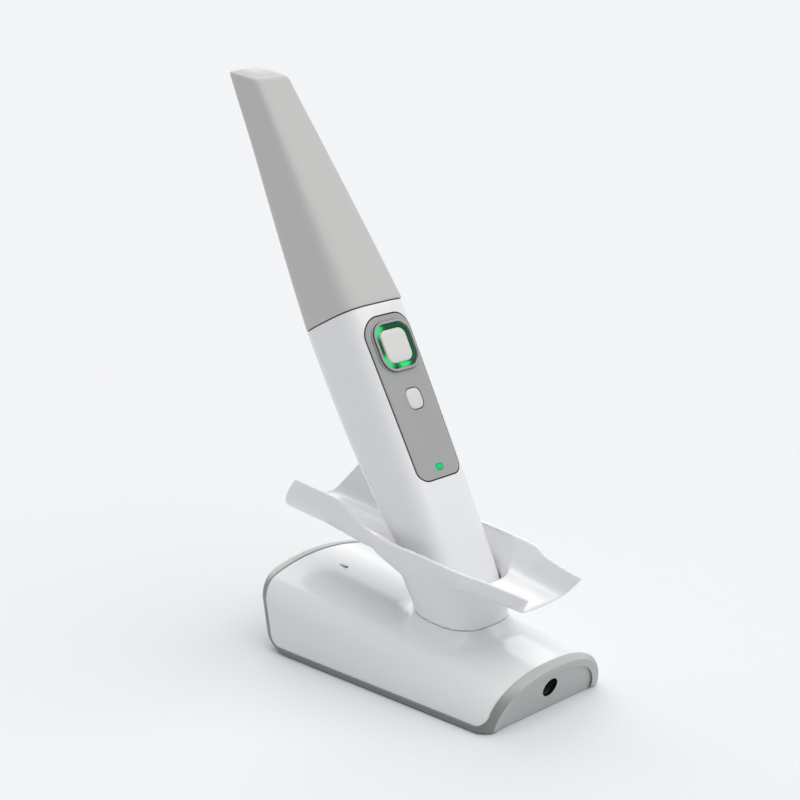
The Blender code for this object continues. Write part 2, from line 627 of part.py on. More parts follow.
# Arch of the back end across X: upright flanks, round shoulders and a crowned top, with its foot at a height.
def arch(half_width, top, shoulder, foot):
    crown = DOCK_CROWN_RADIUS
    centre_x = half_width - shoulder
    centre_z = top - crown + math.sqrt((crown - shoulder) ** 2 - centre_x ** 2)
    centre_z = max(centre_z, foot + 2)
    turn = math.acos(centre_x / (crown - shoulder))
    low = max(foot, 0.0) + 0.5
    span = centre_z - low
    points = [(half_width - 0.5, foot), (half_width, foot + 0.5), (half_width, low + min(1.7, 0.35 * span)),
              (half_width, low + min(4.5, 0.7 * span))]
    for step in range(5):
        angle = turn * step / 4
        points.append((centre_x + shoulder * math.cos(angle), centre_z + shoulder * math.sin(angle)))
    for share in (0.66, 0.33):
        x = points[8][0] * share
        points.append((x, top - crown + math.sqrt(crown ** 2 - x ** 2)))
    return points + [(0.0, top)] + [(-x, z) for x, z in reversed(points)]


# The dock's outer form, grown by an offset: arches from end to end, smaller in the rounded corners.
def dock_loft(name, offset, foot, material, stretch=0.0):
    rings = []
    for share in (0, 0.33, 0.66, 1):
        along = DOCK_FRONT_TAPER_RUN * share - offset - stretch
        taper = (1 - share) ** 2
        top = dock_height(DOCK_FRONT + along) + offset - DOCK_FRONT_CROWN_TAPER * taper
        section = low_arch(DOCK_FRONT_HALF_WIDTH + offset - DOCK_FRONT_TAPER * taper, top, foot)
        rings.append([(x, dock_end(-1, max(z, 0.0)) + along, z) for x, z in section])
    for angle in (90, 60, 30, 0):
        along = DOCK_PLAN_RADIUS * (1 - math.cos(math.radians(angle))) - offset - stretch
        inset = 1 - math.sin(math.radians(angle))
        top = dock_height(DOCK_BACK - along) + offset - DOCK_TOP_ROUNDING * inset
        section = arch(DOCK_HALF_WIDTH + offset - DOCK_PLAN_RADIUS * inset, top, DOCK_SHOULDER + offset, foot)
        rings.append([(x, dock_end(1, max(z, 0.0)) - along, z) for x, z in section])
    return loft(name, rings, material, ladder=True)


# Side view of the white shell: a saddle between the two leaning end bands, with round lower corners.
def saddle(name, grow):
    low = RAIL_TOP + FIT - grow
    radius = SADDLE_RADIUS + grow
    front_slant = math.tan(BORDER_LEAN)
    back_slant = math.tan(DOCK_BACK_LEAN)
    front = DOCK_FRONT + FRONT_BAND - grow
    back = DOCK_BACK - BACK_BAND + grow
    high = 2 * DOCK_BACK_HEIGHT
    steps = 5
    outline = [(front - front_slant * high, high)]
    for step in range(steps + 1):
        angle = math.radians(180 + 90 * step / steps)
        outline.append((front - front_slant * (low + radius) + radius * (1 + math.cos(angle)),
                        low + radius * (1 + math.sin(angle))))
    for step in range(steps + 1):
        angle = math.radians(270 + 90 * step / steps)
        outline.append((back + back_slant * (low + radius) - radius * (1 - math.cos(angle)),
                        low + radius * (1 + math.sin(angle))))
    outline.append((back + back_slant * high, high))
    wide = 2 * DOCK_HALF_WIDTH
    return loft(name, [[(x, y, z) for y, z in outline] for x in (-wide, wide)], None)


def neck_ring(height, grow, front=NECK_FRONT, back=NECK_BACK, half_width=NECK_HALF_WIDTH):
    return oval_ring(half_width + grow, front - grow, back + grow, height, SLOPE, 2.6, 2.6)


def build_dock_shell(white, clear):
    shell = dock_loft("dock_shell", 0, CHASSIS_BOTTOM, white)
    keep(shell, saddle("shell_saddle", 0))
    skirt = []
    for grow, rise in MOUND_PROFILE:
        skirt.append([(x, y, crown_height(x, y) + rise) for x, y, _ in neck_ring(0, grow)])
    skirt.append(neck_ring(SEAM_HEIGHT - FIT, 0.2))
    fuse(shell, loft("mound", skirt, None))
    cut(shell, dock_loft("shell_hollow", -SHELL_WALL, -SHELL_WALL, None, 30))
    opening = [neck_ring(height, FIT - SPIGOT_INSET) for height in (0, SEAM_HEIGHT + 5)]
    cut(shell, loft("spigot_opening", opening, None))
    lens_top = dock_height(INDICATOR_Y)
    half = (INDICATOR_WIDTH / 2, INDICATOR_LENGTH / 2)
    cut(shell, rounded_block("indicator_opening", half[0] + FIT, half[1] + FIT, 0.7 + FIT, lens_top - 9,
                             lens_top + 9, None, None, (INDICATOR_X, INDICATOR_Y), 3))
    rounded_block("indicator_lens", *half, 0.7, lens_top - INDICATOR_DEPTH, lens_top - 0.3, clear, None,
                  (INDICATOR_X, INDICATOR_Y), 3)


def boss_places():
    x = DOCK_FRONT_HALF_WIDTH - BOSS_SIDE_GAP
    front = DOCK_FRONT + BOSS_FRONT_GAP
    back = DOCK_BACK - BOSS_BACK_GAP
    return ((-x, front), (x, front), (-x, back), (x, back))


def build_chassis(grey):
    chassis = dock_loft("dock_chassis", CHASSIS_PROUD, CHASSIS_BOTTOM, grey)
    hollow = dock_loft("chassis_hollow", -CHASSIS_WALL, -CHASSIS_WALL, None)
    cut(chassis, hollow, saddle("chassis_saddle", FIT))
    boss_low = CHASSIS_BOTTOM + BASE_THICKNESS + FIT
    for k, (x, y) in enumerate(boss_places()):
        reach = DOCK_FRONT_HALF_WIDTH - CHASSIS_WALL / 2
        side = math.copysign(1, x)
        web = rounded_block(f"boss_{k + 1}", (reach - abs(x)) / 2, BOSS_RADIUS * 0.8, 1.0, boss_low + 0.1,
                            RAIL_TOP - FIT, None, None, (side * (reach + abs(x)) / 2, y), 1)
        fuse(chassis, web, cylinder(f"boss_post_{k + 1}", BOSS_RADIUS, boss_low, boss_low + BOSS_HEIGHT,
                                    None, None, (x, y), 12))
        cut(chassis, cylinder(f"boss_bore_{k + 1}", SCREW_RADIUS + FIT, -1, boss_low + BOSS_HEIGHT - 1,
                              None, None, (x, y), 12))
    recess_rings = []
    for depth in (RECESS_DEPTH, -20):
        ring = []
        half_width = DOCK_FRONT_HALF_WIDTH - DOCK_FRONT_TAPER - RECESS_RIM
        for x, z in low_arch(half_width, DOCK_FRONT_HEIGHT - RECESS_RIM, RECESS_FOOT):
            ring.append((x, DOCK_FRONT - math.tan(DOCK_FRONT_LEAN) * z - CHASSIS_PROUD + depth, z))
        recess_rings.append(ring)
    cut(chassis, loft("end_recess", recess_rings, None))
    jack_y = DOCK_FRONT - math.tan(DOCK_FRONT_LEAN) * JACK_HEIGHT
    jack_frame = make_frame("jack_frame", (0, jack_y, JACK_HEIGHT), (math.radians(90) + DOCK_FRONT_LEAN, 0, 0))
    cut(chassis, cylinder("jack_hole", JACK_RADIUS, -20, 5, None, jack_frame, segments=24))
    return jack_frame


def build_dock_inside(jack_frame, dark, steel, rubber, board, black):
    top = CHASSIS_BOTTOM + BASE_THICKNESS
    inset = CHASSIS_WALL + FIT
    base_front = dock_end(-1, CHASSIS_BOTTOM) + inset
    base_back = dock_end(1, CHASSIS_BOTTOM) - inset
    base = rounded_block("base_plate", DOCK_FRONT_HALF_WIDTH - inset, (base_back - base_front) / 2,
                         DOCK_PLAN_RADIUS + 0.5, CHASSIS_BOTTOM, top, dark, None,
                         (0, (base_front + base_back) / 2))
    half_x = DOCK_HALF_WIDTH - PAD_INSET
    half_y = (DOCK_BACK - DOCK_FRONT) / 2 - PAD_INSET - DOCK_BACK_TOE
    cut(base, rounded_block("pad_pocket", half_x + FIT, half_y + FIT, PAD_CORNER + FIT, -5, PAD_TOP + FIT,
                            None))
    rounded_block("anti_slip_pad", half_x, half_y, PAD_CORNER, 0, PAD_TOP, rubber)
    head_low = CHASSIS_BOTTOM + 0.1
    for k, (x, y) in enumerate(boss_places()):
        bore = cylinder(f"base_bore_{k + 1}", SCREW_RADIUS + FIT, -5, top + 5, None, None, (x, y), 12)
        sink = cylinder(f"base_sink_{k + 1}", SCREW_HEAD_RADIUS + FIT, -5,
                        head_low + SCREW_HEAD_HEIGHT + FIT, None, None, (x, y), 12)
        cut(base, bore, sink)
        screw(f"base_screw_{k + 1}", x, y, head_low, steel)
    board_low = JACK_HEIGHT - JACK_BODY_HEIGHT / 2 - FIT - DOCK_BOARD_THICKNESS
    jack_back = DOCK_FRONT + CHASSIS_WALL + FIT + 1.5
    board_y = jack_back + JACK_BODY_LENGTH * 0.8 + DOCK_BOARD_LENGTH / 2 - 6
    for k, (sx, sy) in enumerate(((-1, -1), (1, -1), (-1, 1), (1, 1))):
        place = (sx * (DOCK_BOARD_WIDTH / 2 - 4), board_y + sy * (DOCK_BOARD_LENGTH / 2 - 4))
        fuse(base, cylinder(f"standoff_{k + 1}", 2.2, top - 1, board_low - FIT, None, None, place, 8))
    rounded_block("dock_board", DOCK_BOARD_WIDTH / 2, DOCK_BOARD_LENGTH / 2, 1.5, board_low,
                  board_low + DOCK_BOARD_THICKNESS, board, None, (0, board_y), 2)
    rounded_block("ballast", BALLAST_WIDTH / 2, BALLAST_LENGTH / 2, 3, top + FIT,
                  top + FIT + BALLAST_HEIGHT, steel, None, (0, BALLAST_Y), 3)
    build_jack(jack_frame, black)


def screw(name, x, y, low, steel):
    head_top = low + SCREW_HEAD_HEIGHT
    profile = ((SCREW_HEAD_RADIUS, low), (SCREW_HEAD_RADIUS, head_top), (SCREW_RADIUS, head_top),
               (SCREW_RADIUS, head_top + SCREW_LENGTH))
    turns = [math.tau * k / 12 for k in range(12)]
    rings = []
    for radius, height in profile:
        rings.append([(x + radius * math.cos(turn), y + radius * math.sin(turn), height) for turn in turns])
    return loft(name, rings, steel)


# Barrel jack: a square body behind the end wall, with its bore and its centre pin.
def build_jack(jack_frame, black):
    front = -CHASSIS_WALL - FIT
    jack = rounded_block("power_jack", JACK_BODY_WIDTH / 2, JACK_BODY_HEIGHT / 2 - 0.5, 0.8,
                         front - JACK_BODY_LENGTH, front, black, jack_frame, (0, 0), 2)
    cut(jack, cylinder("jack_bore", JACK_BORE, front - JACK_BORE_DEPTH, 5, None, jack_frame, segments=24))
    fuse(jack, cylinder("jack_pin", JACK_PIN, front - JACK_BORE_DEPTH - 1, front - JACK_PIN_DROP, None,
                        jack_frame, segments=12))


def tray_bottom(station):
    return TRAY_HEIGHT + SLOPE * station


def smooth(share):
    share = max(0.0, min(1.0, share))
    return share * share * (3 - 2 * share)


# Trough-shaped line across the tray at a station along Y, from rim to rim, moved in by an amount.
def tray_line(station, shrink):
    wall = LOW_WALL + (HIGH_WALL - LOW_WALL) * smooth((station - WALL_RISE_START) / WALL_RISE_RUN)
    wall -= LIP_DROP * smooth((LIP_START - station) / LIP_RUN)
    narrow = smooth((TAPER_START - station) / TAPER_RUN)
    half_width = TRAY_HALF_WIDTH + (TRAY_FRONT_HALF_WIDTH - TRAY_HALF_WIDTH) * narrow - shrink
    base = tray_bottom(station) - TRAY_SAG + shrink
    height = wall + TRAY_SAG - shrink
    half = [(0.0, base)]
    for k in range(1, 7):
        angle = math.radians(90) * k / 7
        half.append((half_width * math.sin(angle) ** (2 / TRAY_POWER),
                     base + height * (1 - math.cos(angle) ** (2 / TRAY_POWER))))
    half.append((half_width, base + height))
    return [(-x, z) for x, z in reversed(half[1:])] + half


def tray_loft(name, front, back, section, material=None):
    steps = 13
    rings = []
    for k in range(steps + 1):
        station = front + (back - front) * k / steps
        rings.append([(x, station - TRAY_END_LEAN * (z - tray_bottom(station)), z)
                      for x, z in section(station)])
    return loft(name, rings, material)


def tray_section(station):
    return tray_line(station, 0) + list(reversed(tray_line(station, TRAY_THICKNESS)))


def tray_room(station):
    line = tray_line(station, TRAY_THICKNESS / 2)
    return [(line[0][0], line[0][1] + 3 * HIGH_WALL)] + line + [(line[-1][0], line[-1][1] + 3 * HIGH_WALL)]


# The cradle is one moulding: a neck that flares into the sides of a tray, with the handpiece's socket in it.
def build_cradle(frame, white):
    neck = [neck_ring(SEAM_HEIGHT - SPIGOT_DEPTH, -SPIGOT_INSET), neck_ring(SEAM_HEIGHT, -SPIGOT_INSET),
            neck_ring(SEAM_HEIGHT, 0)]
    top = TRAY_HEIGHT + LOW_WALL - 0.3
    for height, widening, lengthening, forward in (*CHEEK_PROFILE, (top, 1, 1, 1)):
        neck.append(neck_ring(height, 0, NECK_FRONT - CHEEK_FORWARD * forward,
                              NECK_BACK + (CHEEK_BACK - NECK_BACK) * lengthening,
                              NECK_HALF_WIDTH + (CHEEK_HALF_WIDTH - NECK_HALF_WIDTH) * widening))
    cradle = loft("cradle", neck, white)
    cut(cradle, tray_loft("tray_room", TRAY_FRONT - 30, TRAY_BACK + 30, tray_room))
    fuse(cradle, tray_loft("tray", TRAY_FRONT, TRAY_BACK, tray_section))
    mouth = []
    for height, half_width, front, back, squareness in MOUTH_PROFILE:
        mouth.append(oval_ring(half_width, front, back, height, SLOPE, squareness, 2.6))
    cut(cradle, loft("mouth", mouth, None))
    socket = [housing_ring(-SOCKET_CLEARANCE, SOCKET_CLEARANCE)]
    socket += [housing_ring(height, SOCKET_CLEARANCE) for height in (10, 20, 30, 40)]
    cut(cradle, loft("socket", socket, None, frame))
    groove_low = tray_bottom(0) - TRAY_SAG + TRAY_THICKNESS - GROOVE_DEPTH + 0.3
    groove = []
    for rise, grow in ((0, 0), (GROOVE_DEPTH + 8, 1.0)):
        ring = rounded_ring(GROOVE_HALF_WIDTH + grow, GROOVE_END / 2 - 2, GROOVE_HALF_WIDTH - 1.5, 0,
                            (0, GROOVE_END / 2 + 2), 5)
        groove.append([(x, y, groove_low + rise + SLOPE * y) for x, y, _ in ring])
    cut(cradle, loft("groove", groove, None))
    build_spigot_hollow(cradle, frame)
    return cradle


# The neck is hollow below the socket's floor, for the contact block and its wires.
def build_spigot_hollow(cradle, frame):
    floor_slope = -math.tan(LEAN)
    under = TAIL_Z - (SOCKET_CLEARANCE + SOCKET_FLOOR) / math.cos(LEAN) - floor_slope * TAIL_Y
    top = [(x, y, under + floor_slope * y) for x, y, _ in oval_ring(12.5, HOLLOW_FRONT, HOLLOW_BACK, 0)]
    low = [(x, y, SEAM_HEIGHT / 3) for x, y, _ in oval_ring(12.5, HOLLOW_FRONT, HOLLOW_BACK, 0)]
    cut(cradle, loft("neck_hollow", [low, top], None))
    y = pad_line()
    cut(cradle, rounded_block("contact_opening", CONTACT_BLOCK_LENGTH / 2 + FIT,
                              CONTACT_BLOCK_WIDTH / 2 + FIT, 1.0,
                              -SOCKET_FLOOR - 10, 2, None, frame, (0, y), 2))


def build_contacts(frame, black, gold):
    y = pad_line()
    top = -SOCKET_CLEARANCE - 0.2
    floor = -SOCKET_CLEARANCE - SOCKET_FLOOR - FIT
    half_x, half_y = CONTACT_BLOCK_LENGTH / 2, CONTACT_BLOCK_WIDTH / 2
    profile = ((0, top), (0, floor), (CONTACT_FLANGE, floor), (CONTACT_FLANGE, floor - 2.0))
    rings = [rounded_ring(half_x + grow, half_y + min(grow, 1.2), 0.8, height, (0, y), 2)
             for grow, height in profile]
    block = loft("contact_block", rings, black, frame)
    for side, x in (("left", -CONTACT_SPACING / 2), ("right", CONTACT_SPACING / 2)):
        cut(block, cylinder(f"pin_bore_{side}", PIN_RADIUS + FIT, floor - 10, 5, None, frame, (x, y), 12))
        cylinder(f"contact_pin_{side}", PIN_RADIUS, floor - 3.5, -FIT, gold, frame, (x, y), 12)


def build_clamp(steel, cradle):
    neck_middle = (NECK_FRONT + NECK_BACK) / 2
    dock_slope = (DOCK_BACK_HEIGHT - DOCK_FRONT_HEIGHT) / (DOCK_BACK - DOCK_FRONT)
    ceiling = dock_height(0) - SHELL_WALL - 2.2
    top = ceiling - FIT
    outline = oval_ring(NECK_HALF_WIDTH - SPIGOT_INSET + CLAMP_RIM, NECK_FRONT + SPIGOT_INSET - CLAMP_RIM,
                        NECK_BACK - SPIGOT_INSET + CLAMP_RIM, 0)
    rings = [[(x, y, height + dock_slope * y) for x, y, _ in outline]
             for height in (top - CLAMP_THICKNESS, top)]
    clamp = loft("clamp_plate", rings, steel)
    slot = rounded_block("clamp_slot", 6.0, 11.0, 3.0, 0, 60, None, None, (0, neck_middle), 3)
    cut(clamp, slot)
    low = top - CLAMP_THICKNESS + dock_slope * neck_middle - SCREW_HEAD_HEIGHT - FIT - 0.4
    for k, side in enumerate((-1, 1)):
        x = side * (NECK_HALF_WIDTH - SPIGOT_INSET - 2.6)
        bore = cylinder(f"clamp_bore_{k + 1}", SCREW_RADIUS + FIT, 0,
                        low + SCREW_HEAD_HEIGHT + SCREW_LENGTH + 1, None, None, (x, neck_middle), 12)
        cut(clamp, bore)
        cut(cradle, bore)
        screw(f"clamp_screw_{k + 1}", x, neck_middle, low, steel)


def main():
    clear_scene()
    white = make_material("gloss_white", (0.86, 0.87, 0.88), 0.22)
    tip_grey = make_material("tip_grey", (0.58, 0.58, 0.57), 0.35)
    panel_grey = make_material("panel_grey", (0.32, 0.32, 0.32), 0.42)
    chassis_grey = make_material("chassis_grey", (0.36, 0.38, 0.38), 0.4)
    button_white = make_material("button_white", (0.72, 0.72, 0.7), 0.4)
    green = make_material("green_light", (0.02, 0.55, 0.16), 0.25)
    glass = make_material("clear_glass", (0.8, 0.85, 0.88), 0.05)
    mirror = make_material("mirror", (0.9, 0.9, 0.9), 0.03, 1.0)
    rubber = make_material("black_rubber", (0.03, 0.03, 0.03), 0.8)
    black = make_material("black_plastic", (0.02, 0.02, 0.02), 0.45)
    board = make_material("board_green", (0.03, 0.2, 0.09), 0.5)
    steel = make_material("steel", (0.55, 0.56, 0.57), 0.35, 1.0)
    gold = make_material("contact_gold", (0.85, 0.62, 0.25), 0.3, 1.0)
    blue = make_material("battery_wrap", (0.06, 0.12, 0.3), 0.5)

    frame = make_frame("handpiece_frame", (0, TAIL_Y, TAIL_Z), (-LEAN, 0, 0))
    panel_frame = make_frame("panel_frame", (0, -HOUSING_DEPTH / 2, 0), (math.radians(90), 0, 0), frame)
    build_tip(frame, tip_grey, mirror)
    build_nose(frame, black, glass, steel, black)
    build_seal(frame, rubber)
    build_housing(frame, panel_frame, white)
    build_panel(frame, panel_frame, panel_grey)
    build_controls(panel_frame, button_white, green, board, black)
    build_tail(frame, chassis_grey, gold, blue)

    build_dock_shell(white, glass)
    jack_frame = build_chassis(chassis_grey)
    build_dock_inside(jack_frame, black, steel, rubber, board, black)
    cradle = build_cradle(frame, white)
    build_contacts(frame, black, gold)
    build_clamp(steel, cradle)


main()
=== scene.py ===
import math
import bpy
import numpy as np
from mathutils import Matrix, Vector


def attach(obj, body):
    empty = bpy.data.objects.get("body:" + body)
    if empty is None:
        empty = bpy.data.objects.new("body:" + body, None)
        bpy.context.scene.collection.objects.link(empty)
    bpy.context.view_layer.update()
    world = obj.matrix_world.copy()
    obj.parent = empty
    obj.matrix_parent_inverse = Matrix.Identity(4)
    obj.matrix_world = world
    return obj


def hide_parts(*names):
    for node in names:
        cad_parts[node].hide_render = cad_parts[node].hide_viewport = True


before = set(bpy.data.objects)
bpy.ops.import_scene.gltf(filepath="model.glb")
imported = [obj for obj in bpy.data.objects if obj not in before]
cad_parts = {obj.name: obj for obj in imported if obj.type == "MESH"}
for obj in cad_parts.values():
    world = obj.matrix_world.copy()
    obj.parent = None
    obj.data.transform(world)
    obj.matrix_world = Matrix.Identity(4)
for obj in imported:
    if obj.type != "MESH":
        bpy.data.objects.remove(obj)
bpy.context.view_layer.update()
mm = 0.001                                                  # the lengths below are in millimetres

grip = {"lean": 28.3, "y": -15.2, "z": 36.0}                # the handpiece's tail in the cradle, and its lean
handFrame = (Matrix.Translation((0, grip["y"], grip["z"]))
             @ Matrix.Rotation(-math.radians(grip["lean"]), 4, "X"))


# Meshes

def only(item):
    bpy.ops.object.select_all(action="DESELECT")
    item.select_set(True)
    bpy.context.view_layer.objects.active = item


def resample(points, count, closed=True):                   # the same line in even steps
    line = np.array(points, float)
    if closed:
        line = np.vstack([line, line[:1]])
    steps = np.linalg.norm(np.diff(line, axis=0), axis=1)
    along = np.concatenate([[0], np.cumsum(steps)])
    stops = np.linspace(0, along[-1], count + 1)[:-1] if closed else np.linspace(0, along[-1], count)
    return np.stack([np.interp(stops, along, line[:, k]) for k in range(3)], 1)


def capFaces(low, count, ladder):                           # a ladder of quads suits the end of an arch
    if not ladder:
        return [tuple(range(low, low + count))]
    corners = [(low + k, low + k + 1, low + count - 2 - k, low + count - 1 - k) for k in range(count // 2)]
    return [tuple(dict.fromkeys(four)) for four in corners]


def skin(name, rings, place=None, loop=False, ladder=False):   # closed mesh through rings of points
    count, total = len(rings[0]), len(rings)
    points = np.vstack([np.array(ring, float) for ring in rings])
    faces = []
    for row in range(total if loop else total - 1):
        low, high = row * count, (row + 1) % total * count
        for k in range(count):
            n = (k + 1) % count
            faces.append((low + k, low + n, high + n, high + k))
    if not loop:
        faces += capFaces(0, count, ladder) + capFaces((total - 1) * count, count, ladder)
    mesh = bpy.data.meshes.new(name)
    mesh.from_pydata([tuple(point) for point in points], [], [face for face in faces if len(face) > 2])
    mesh.transform(Matrix.Scale(mm, 4) @ (place or Matrix.Identity(4)))
    mesh.validate()
    item = bpy.data.objects.new(name, mesh)
    bpy.context.scene.collection.objects.link(item)
    only(item)
    bpy.ops.object.mode_set(mode="EDIT")
    bpy.ops.mesh.select_all(action="SELECT")
    bpy.ops.mesh.normals_make_consistent(inside=False)
    bpy.ops.object.mode_set(mode="OBJECT")
    return item


def combine(target, other, operation):
    only(target)
    modifier = target.modifiers.new(operation, "BOOLEAN")
    modifier.operation = operation
    modifier.solver = "EXACT"
    modifier.object = other
    bpy.ops.object.modifier_apply(modifier=operation)
    bpy.data.objects.remove(other, do_unlink=True)
    return target


def cut(target, other):
    return combine(target, other, "DIFFERENCE")


def fuse(target, other):
    return combine(target, other, "UNION")


def smoothShade(item, degrees):
    only(item)
    bpy.ops.object.shade_smooth_by_angle(angle=math.radians(degrees))
    return item


def remesh(item, size, rounds):                             # one even skin, its inner corners softened
    only(item)
    modifier = item.modifiers.new("remesh", "REMESH")
    modifier.mode = "VOXEL"
    modifier.voxel_size = size * mm
    bpy.ops.object.modifier_apply(modifier="remesh")
    modifier = item.modifiers.new("soften", "SMOOTH")
    modifier.factor = 0.5
    modifier.iterations = rounds
    bpy.ops.object.modifier_apply(modifier="soften")
    only(item)
    bpy.ops.object.shade_smooth()


def arcSteps(count):                                        # a quarter turn in even steps
    return [math.pi / 2 * k / count for k in range(count + 1)]


def ramp(at, start, end):                                   # soft step from 0 at the start to 1 at the end
    share = max(0.0, min(1.0, (at - start) / (end - start)))
    return share * share * (3 - 2 * share)


def through(table, at):                                     # soft curve through the rows of a table
    rows = np.array(table, float)
    x = rows[:, 0]
    k = int(np.clip(np.searchsorted(x, at) - 1, 0, len(x) - 2))
    span = x[k + 1] - x[k]
    t = min(1.0, max(0.0, (at - x[k]) / span))
    slopes = np.gradient(rows[:, 1:], x, axis=0)
    low, high = rows[k, 1:], rows[k + 1, 1:]
    return ((2 * t ** 3 - 3 * t ** 2 + 1) * low + (t ** 3 - 2 * t ** 2 + t) * span * slopes[k]
            + (3 * t ** 2 - 2 * t ** 3) * high + (t ** 3 - t ** 2) * span * slopes[k + 1])


def oval(halfWidth, front, back, height, slope=0.0, frontPower=4.0, backPower=3.0, count=128):
    angles = np.linspace(0, 2 * math.pi, 1441)[:-1]         # fine first, then in even steps
    c, s = np.cos(angles), np.sin(angles)
    power = np.where(s > 0, 2 / backPower, 2 / frontPower)
    x = halfWidth * np.sign(c) * np.abs(c) ** power
    y = (front + back) / 2 + (back - front) / 2 * np.sign(s) * np.abs(s) ** power
    return resample(np.stack([x, y, height + slope * y], 1), count)


def roundedRing(halfX, halfY, radius, height, centre=(0, 0), steps=10):
    ring = []
    for corner, (sx, sy) in enumerate(((1, 1), (-1, 1), (-1, -1), (1, -1))):
        for step in range(steps + 1):
            angle = math.pi / 2 * (corner + step / steps)
            ring.append((centre[0] + sx * (halfX - radius) + radius * math.cos(angle),
                         centre[1] + sy * (halfY - radius) + radius * math.sin(angle), height))
    return ring


def block(name, halfX, halfY, radius, low, high, place=None, centre=(0, 0)):
    return skin(name, [roundedRing(halfX, halfY, radius, z, centre) for z in (low, high)], place)


print("housing")
body = {"length": 137.1, "halfWidth": 19.7, "tailHalfWidth": 17.2, "front": -19.5, "back": 19.5,
        "frontCurve": 1.5, "backCurve": 14.0, "tailRounding": 3.0, "topRounding": 0.45}
panel = {"top": 131.6, "bottom": 54.8, "topHalf": 14.3, "bottomHalf": 13.2, "topRadius": 9.0,
         "bottomRadius": 5.5, "thickness": 1.4, "proud": 0.1, "pocketGap": 0.65, "pocketDepth": 1.7,
         "reach": (-6, 3), "hollow": (20, 136.6), "skin": (20, 136.8), "core": (18, 137),
         "scan": 117.0, "mode": 91.9, "lens": 59.5,
         "modeHole": (4.92, 5.22, 3.55), "lensHole": (2.35, 1.55, 1.2)}
panelFrame = handFrame @ Matrix.Translation((0, body["front"], 0)) @ Matrix.Rotation(math.pi / 2, 4, "X")


def bodyLines(height):                                      # half width, front and back of the grip
    rest = max(0.0, 1 - height / body["length"])
    halfWidth = body["halfWidth"] - (body["halfWidth"] - body["tailHalfWidth"]) * rest ** 3
    frontLine = body["front"] + body["frontCurve"] * rest ** 4
    return halfWidth, frontLine, body["back"] - body["backCurve"] * rest ** 2.2


def bodyRing(height, grow=0.0):
    halfWidth, frontLine, backLine = bodyLines(height)
    return oval(halfWidth + grow, frontLine - grow, backLine + grow, height)


def bodySkin(name, low, high, grow, steps=36):
    return skin(name, [bodyRing(low + (high - low) * k / steps, grow) for k in range(steps + 1)], handFrame)


def panelRing(grow, height, steps=14):
    ring = []
    corners = ((panel["topHalf"], panel["top"] + grow, panel["topRadius"], 1, 1),
               (panel["topHalf"], panel["top"] + grow, panel["topRadius"], -1, 1),
               (panel["bottomHalf"], panel["bottom"] - grow, panel["bottomRadius"], -1, -1),
               (panel["bottomHalf"], panel["bottom"] - grow, panel["bottomRadius"], 1, -1))
    for corner, (half, end, radius, sx, sy) in enumerate(corners):
        for step in range(steps + 1):
            angle = math.pi / 2 * (corner + step / steps)
            ring.append((sx * (half - radius) + (radius + grow) * math.cos(angle),
                         end - sy * (radius + grow) + (radius + grow) * math.sin(angle), height))
    return ring


tail, top = body["tailRounding"], body["topRounding"]
rings = [bodyRing(tail * (1 - math.cos(a)), -tail * (1 - math.sin(a))) for a in arcSteps(6)]
rings += [bodyRing(tail + (body["length"] - tail) * k / 44) for k in range(1, 45)]
rings += [bodyRing(body["length"] + top * math.sin(a), -top * (1 - math.cos(a))) for a in arcSteps(4)[1:]]
housing = skin("bodyMoulding", rings, handFrame)
pocket = skin("pocket", [panelRing(panel["pocketGap"], z) for z in panel["reach"]], panelFrame)
pocket = cut(pocket, bodySkin("pocketFloor", *panel["hollow"], -panel["pocketDepth"]))
housing = smoothShade(cut(housing, pocket), 32)

print("panel")
bezel = {"hole": 10.4, "radius": 6.2,                       # rows: half width, height over the panel
         "rows": ((12.2, -1.3), (12.2, 0.05), (11.95, 0.35), (11.8, 0.8), (11.66, 1.12), (11.4, 1.32),
                  (11.1, 1.4), (10.8, 1.38), (10.52, 1.25), (10.4, 1.0), (10.4, -1.3))}
front = skin("controlPlate", [panelRing(0, z) for z in panel["reach"]], panelFrame)
front = combine(front, bodySkin("plateSkin", *panel["skin"], panel["proud"]), "INTERSECT")
front = cut(front, bodySkin("plateCore", *panel["core"], -panel["thickness"]))
for name, opening, position in (("ringHole", (bezel["hole"], bezel["hole"], bezel["radius"]), panel["scan"]),
                                ("modeHole", panel["modeHole"], panel["mode"]),
                                ("lensHole", panel["lensHole"], panel["lens"])):
    front = cut(front, block(name, *opening, -6, 6, panelFrame, (0, position)))
rim = [roundedRing(half, half, bezel["radius"] + half - bezel["hole"], height, (0, panel["scan"]))
       for half, height in bezel["rows"]]
rim = skin("bezelRim", rim, panelFrame, loop=True)
only(front)
rim.select_set(True)
bpy.ops.object.join()
smoothShade(front, 32)

print("controls")
guide = {"outer": 10.1, "inner": 8.15, "outerRadius": 5.7, "innerRadius": 4.1,   # rows: half width, height
         "rows": ((10.1, -2.6), (10.1, 0.5), (10.02, 0.75), (9.8, 0.88), (9.6, 0.9), (8.6, 0.76),
                  (8.35, 0.66), (8.2, 0.5), (8.15, 0.3), (8.15, -2.6))}
scanCap = {"halfX": 7.85, "halfY": 7.85, "radius": 3.9,     # rows: how far outside the outline, height
           "rows": ((-6.2, 1.42), (-4.5, 1.41), (-3.0, 1.38), (-1.8, 1.33), (-1.0, 1.24), (-0.55, 1.11),
                    (-0.22, 0.9), (-0.05, 0.6), (0, 0.3), (0, -2.6))}
modeCap = {"halfX": 4.5, "halfY": 4.8, "radius": 3.2,
           "rows": ((-4.0, 0.52), (-3.0, 0.5), (-2.0, 0.46), (-1.2, 0.38), (-0.6, 0.26), (-0.25, 0.12),
                    (-0.05, -0.08), (0, -0.3), (0, -2.2))}
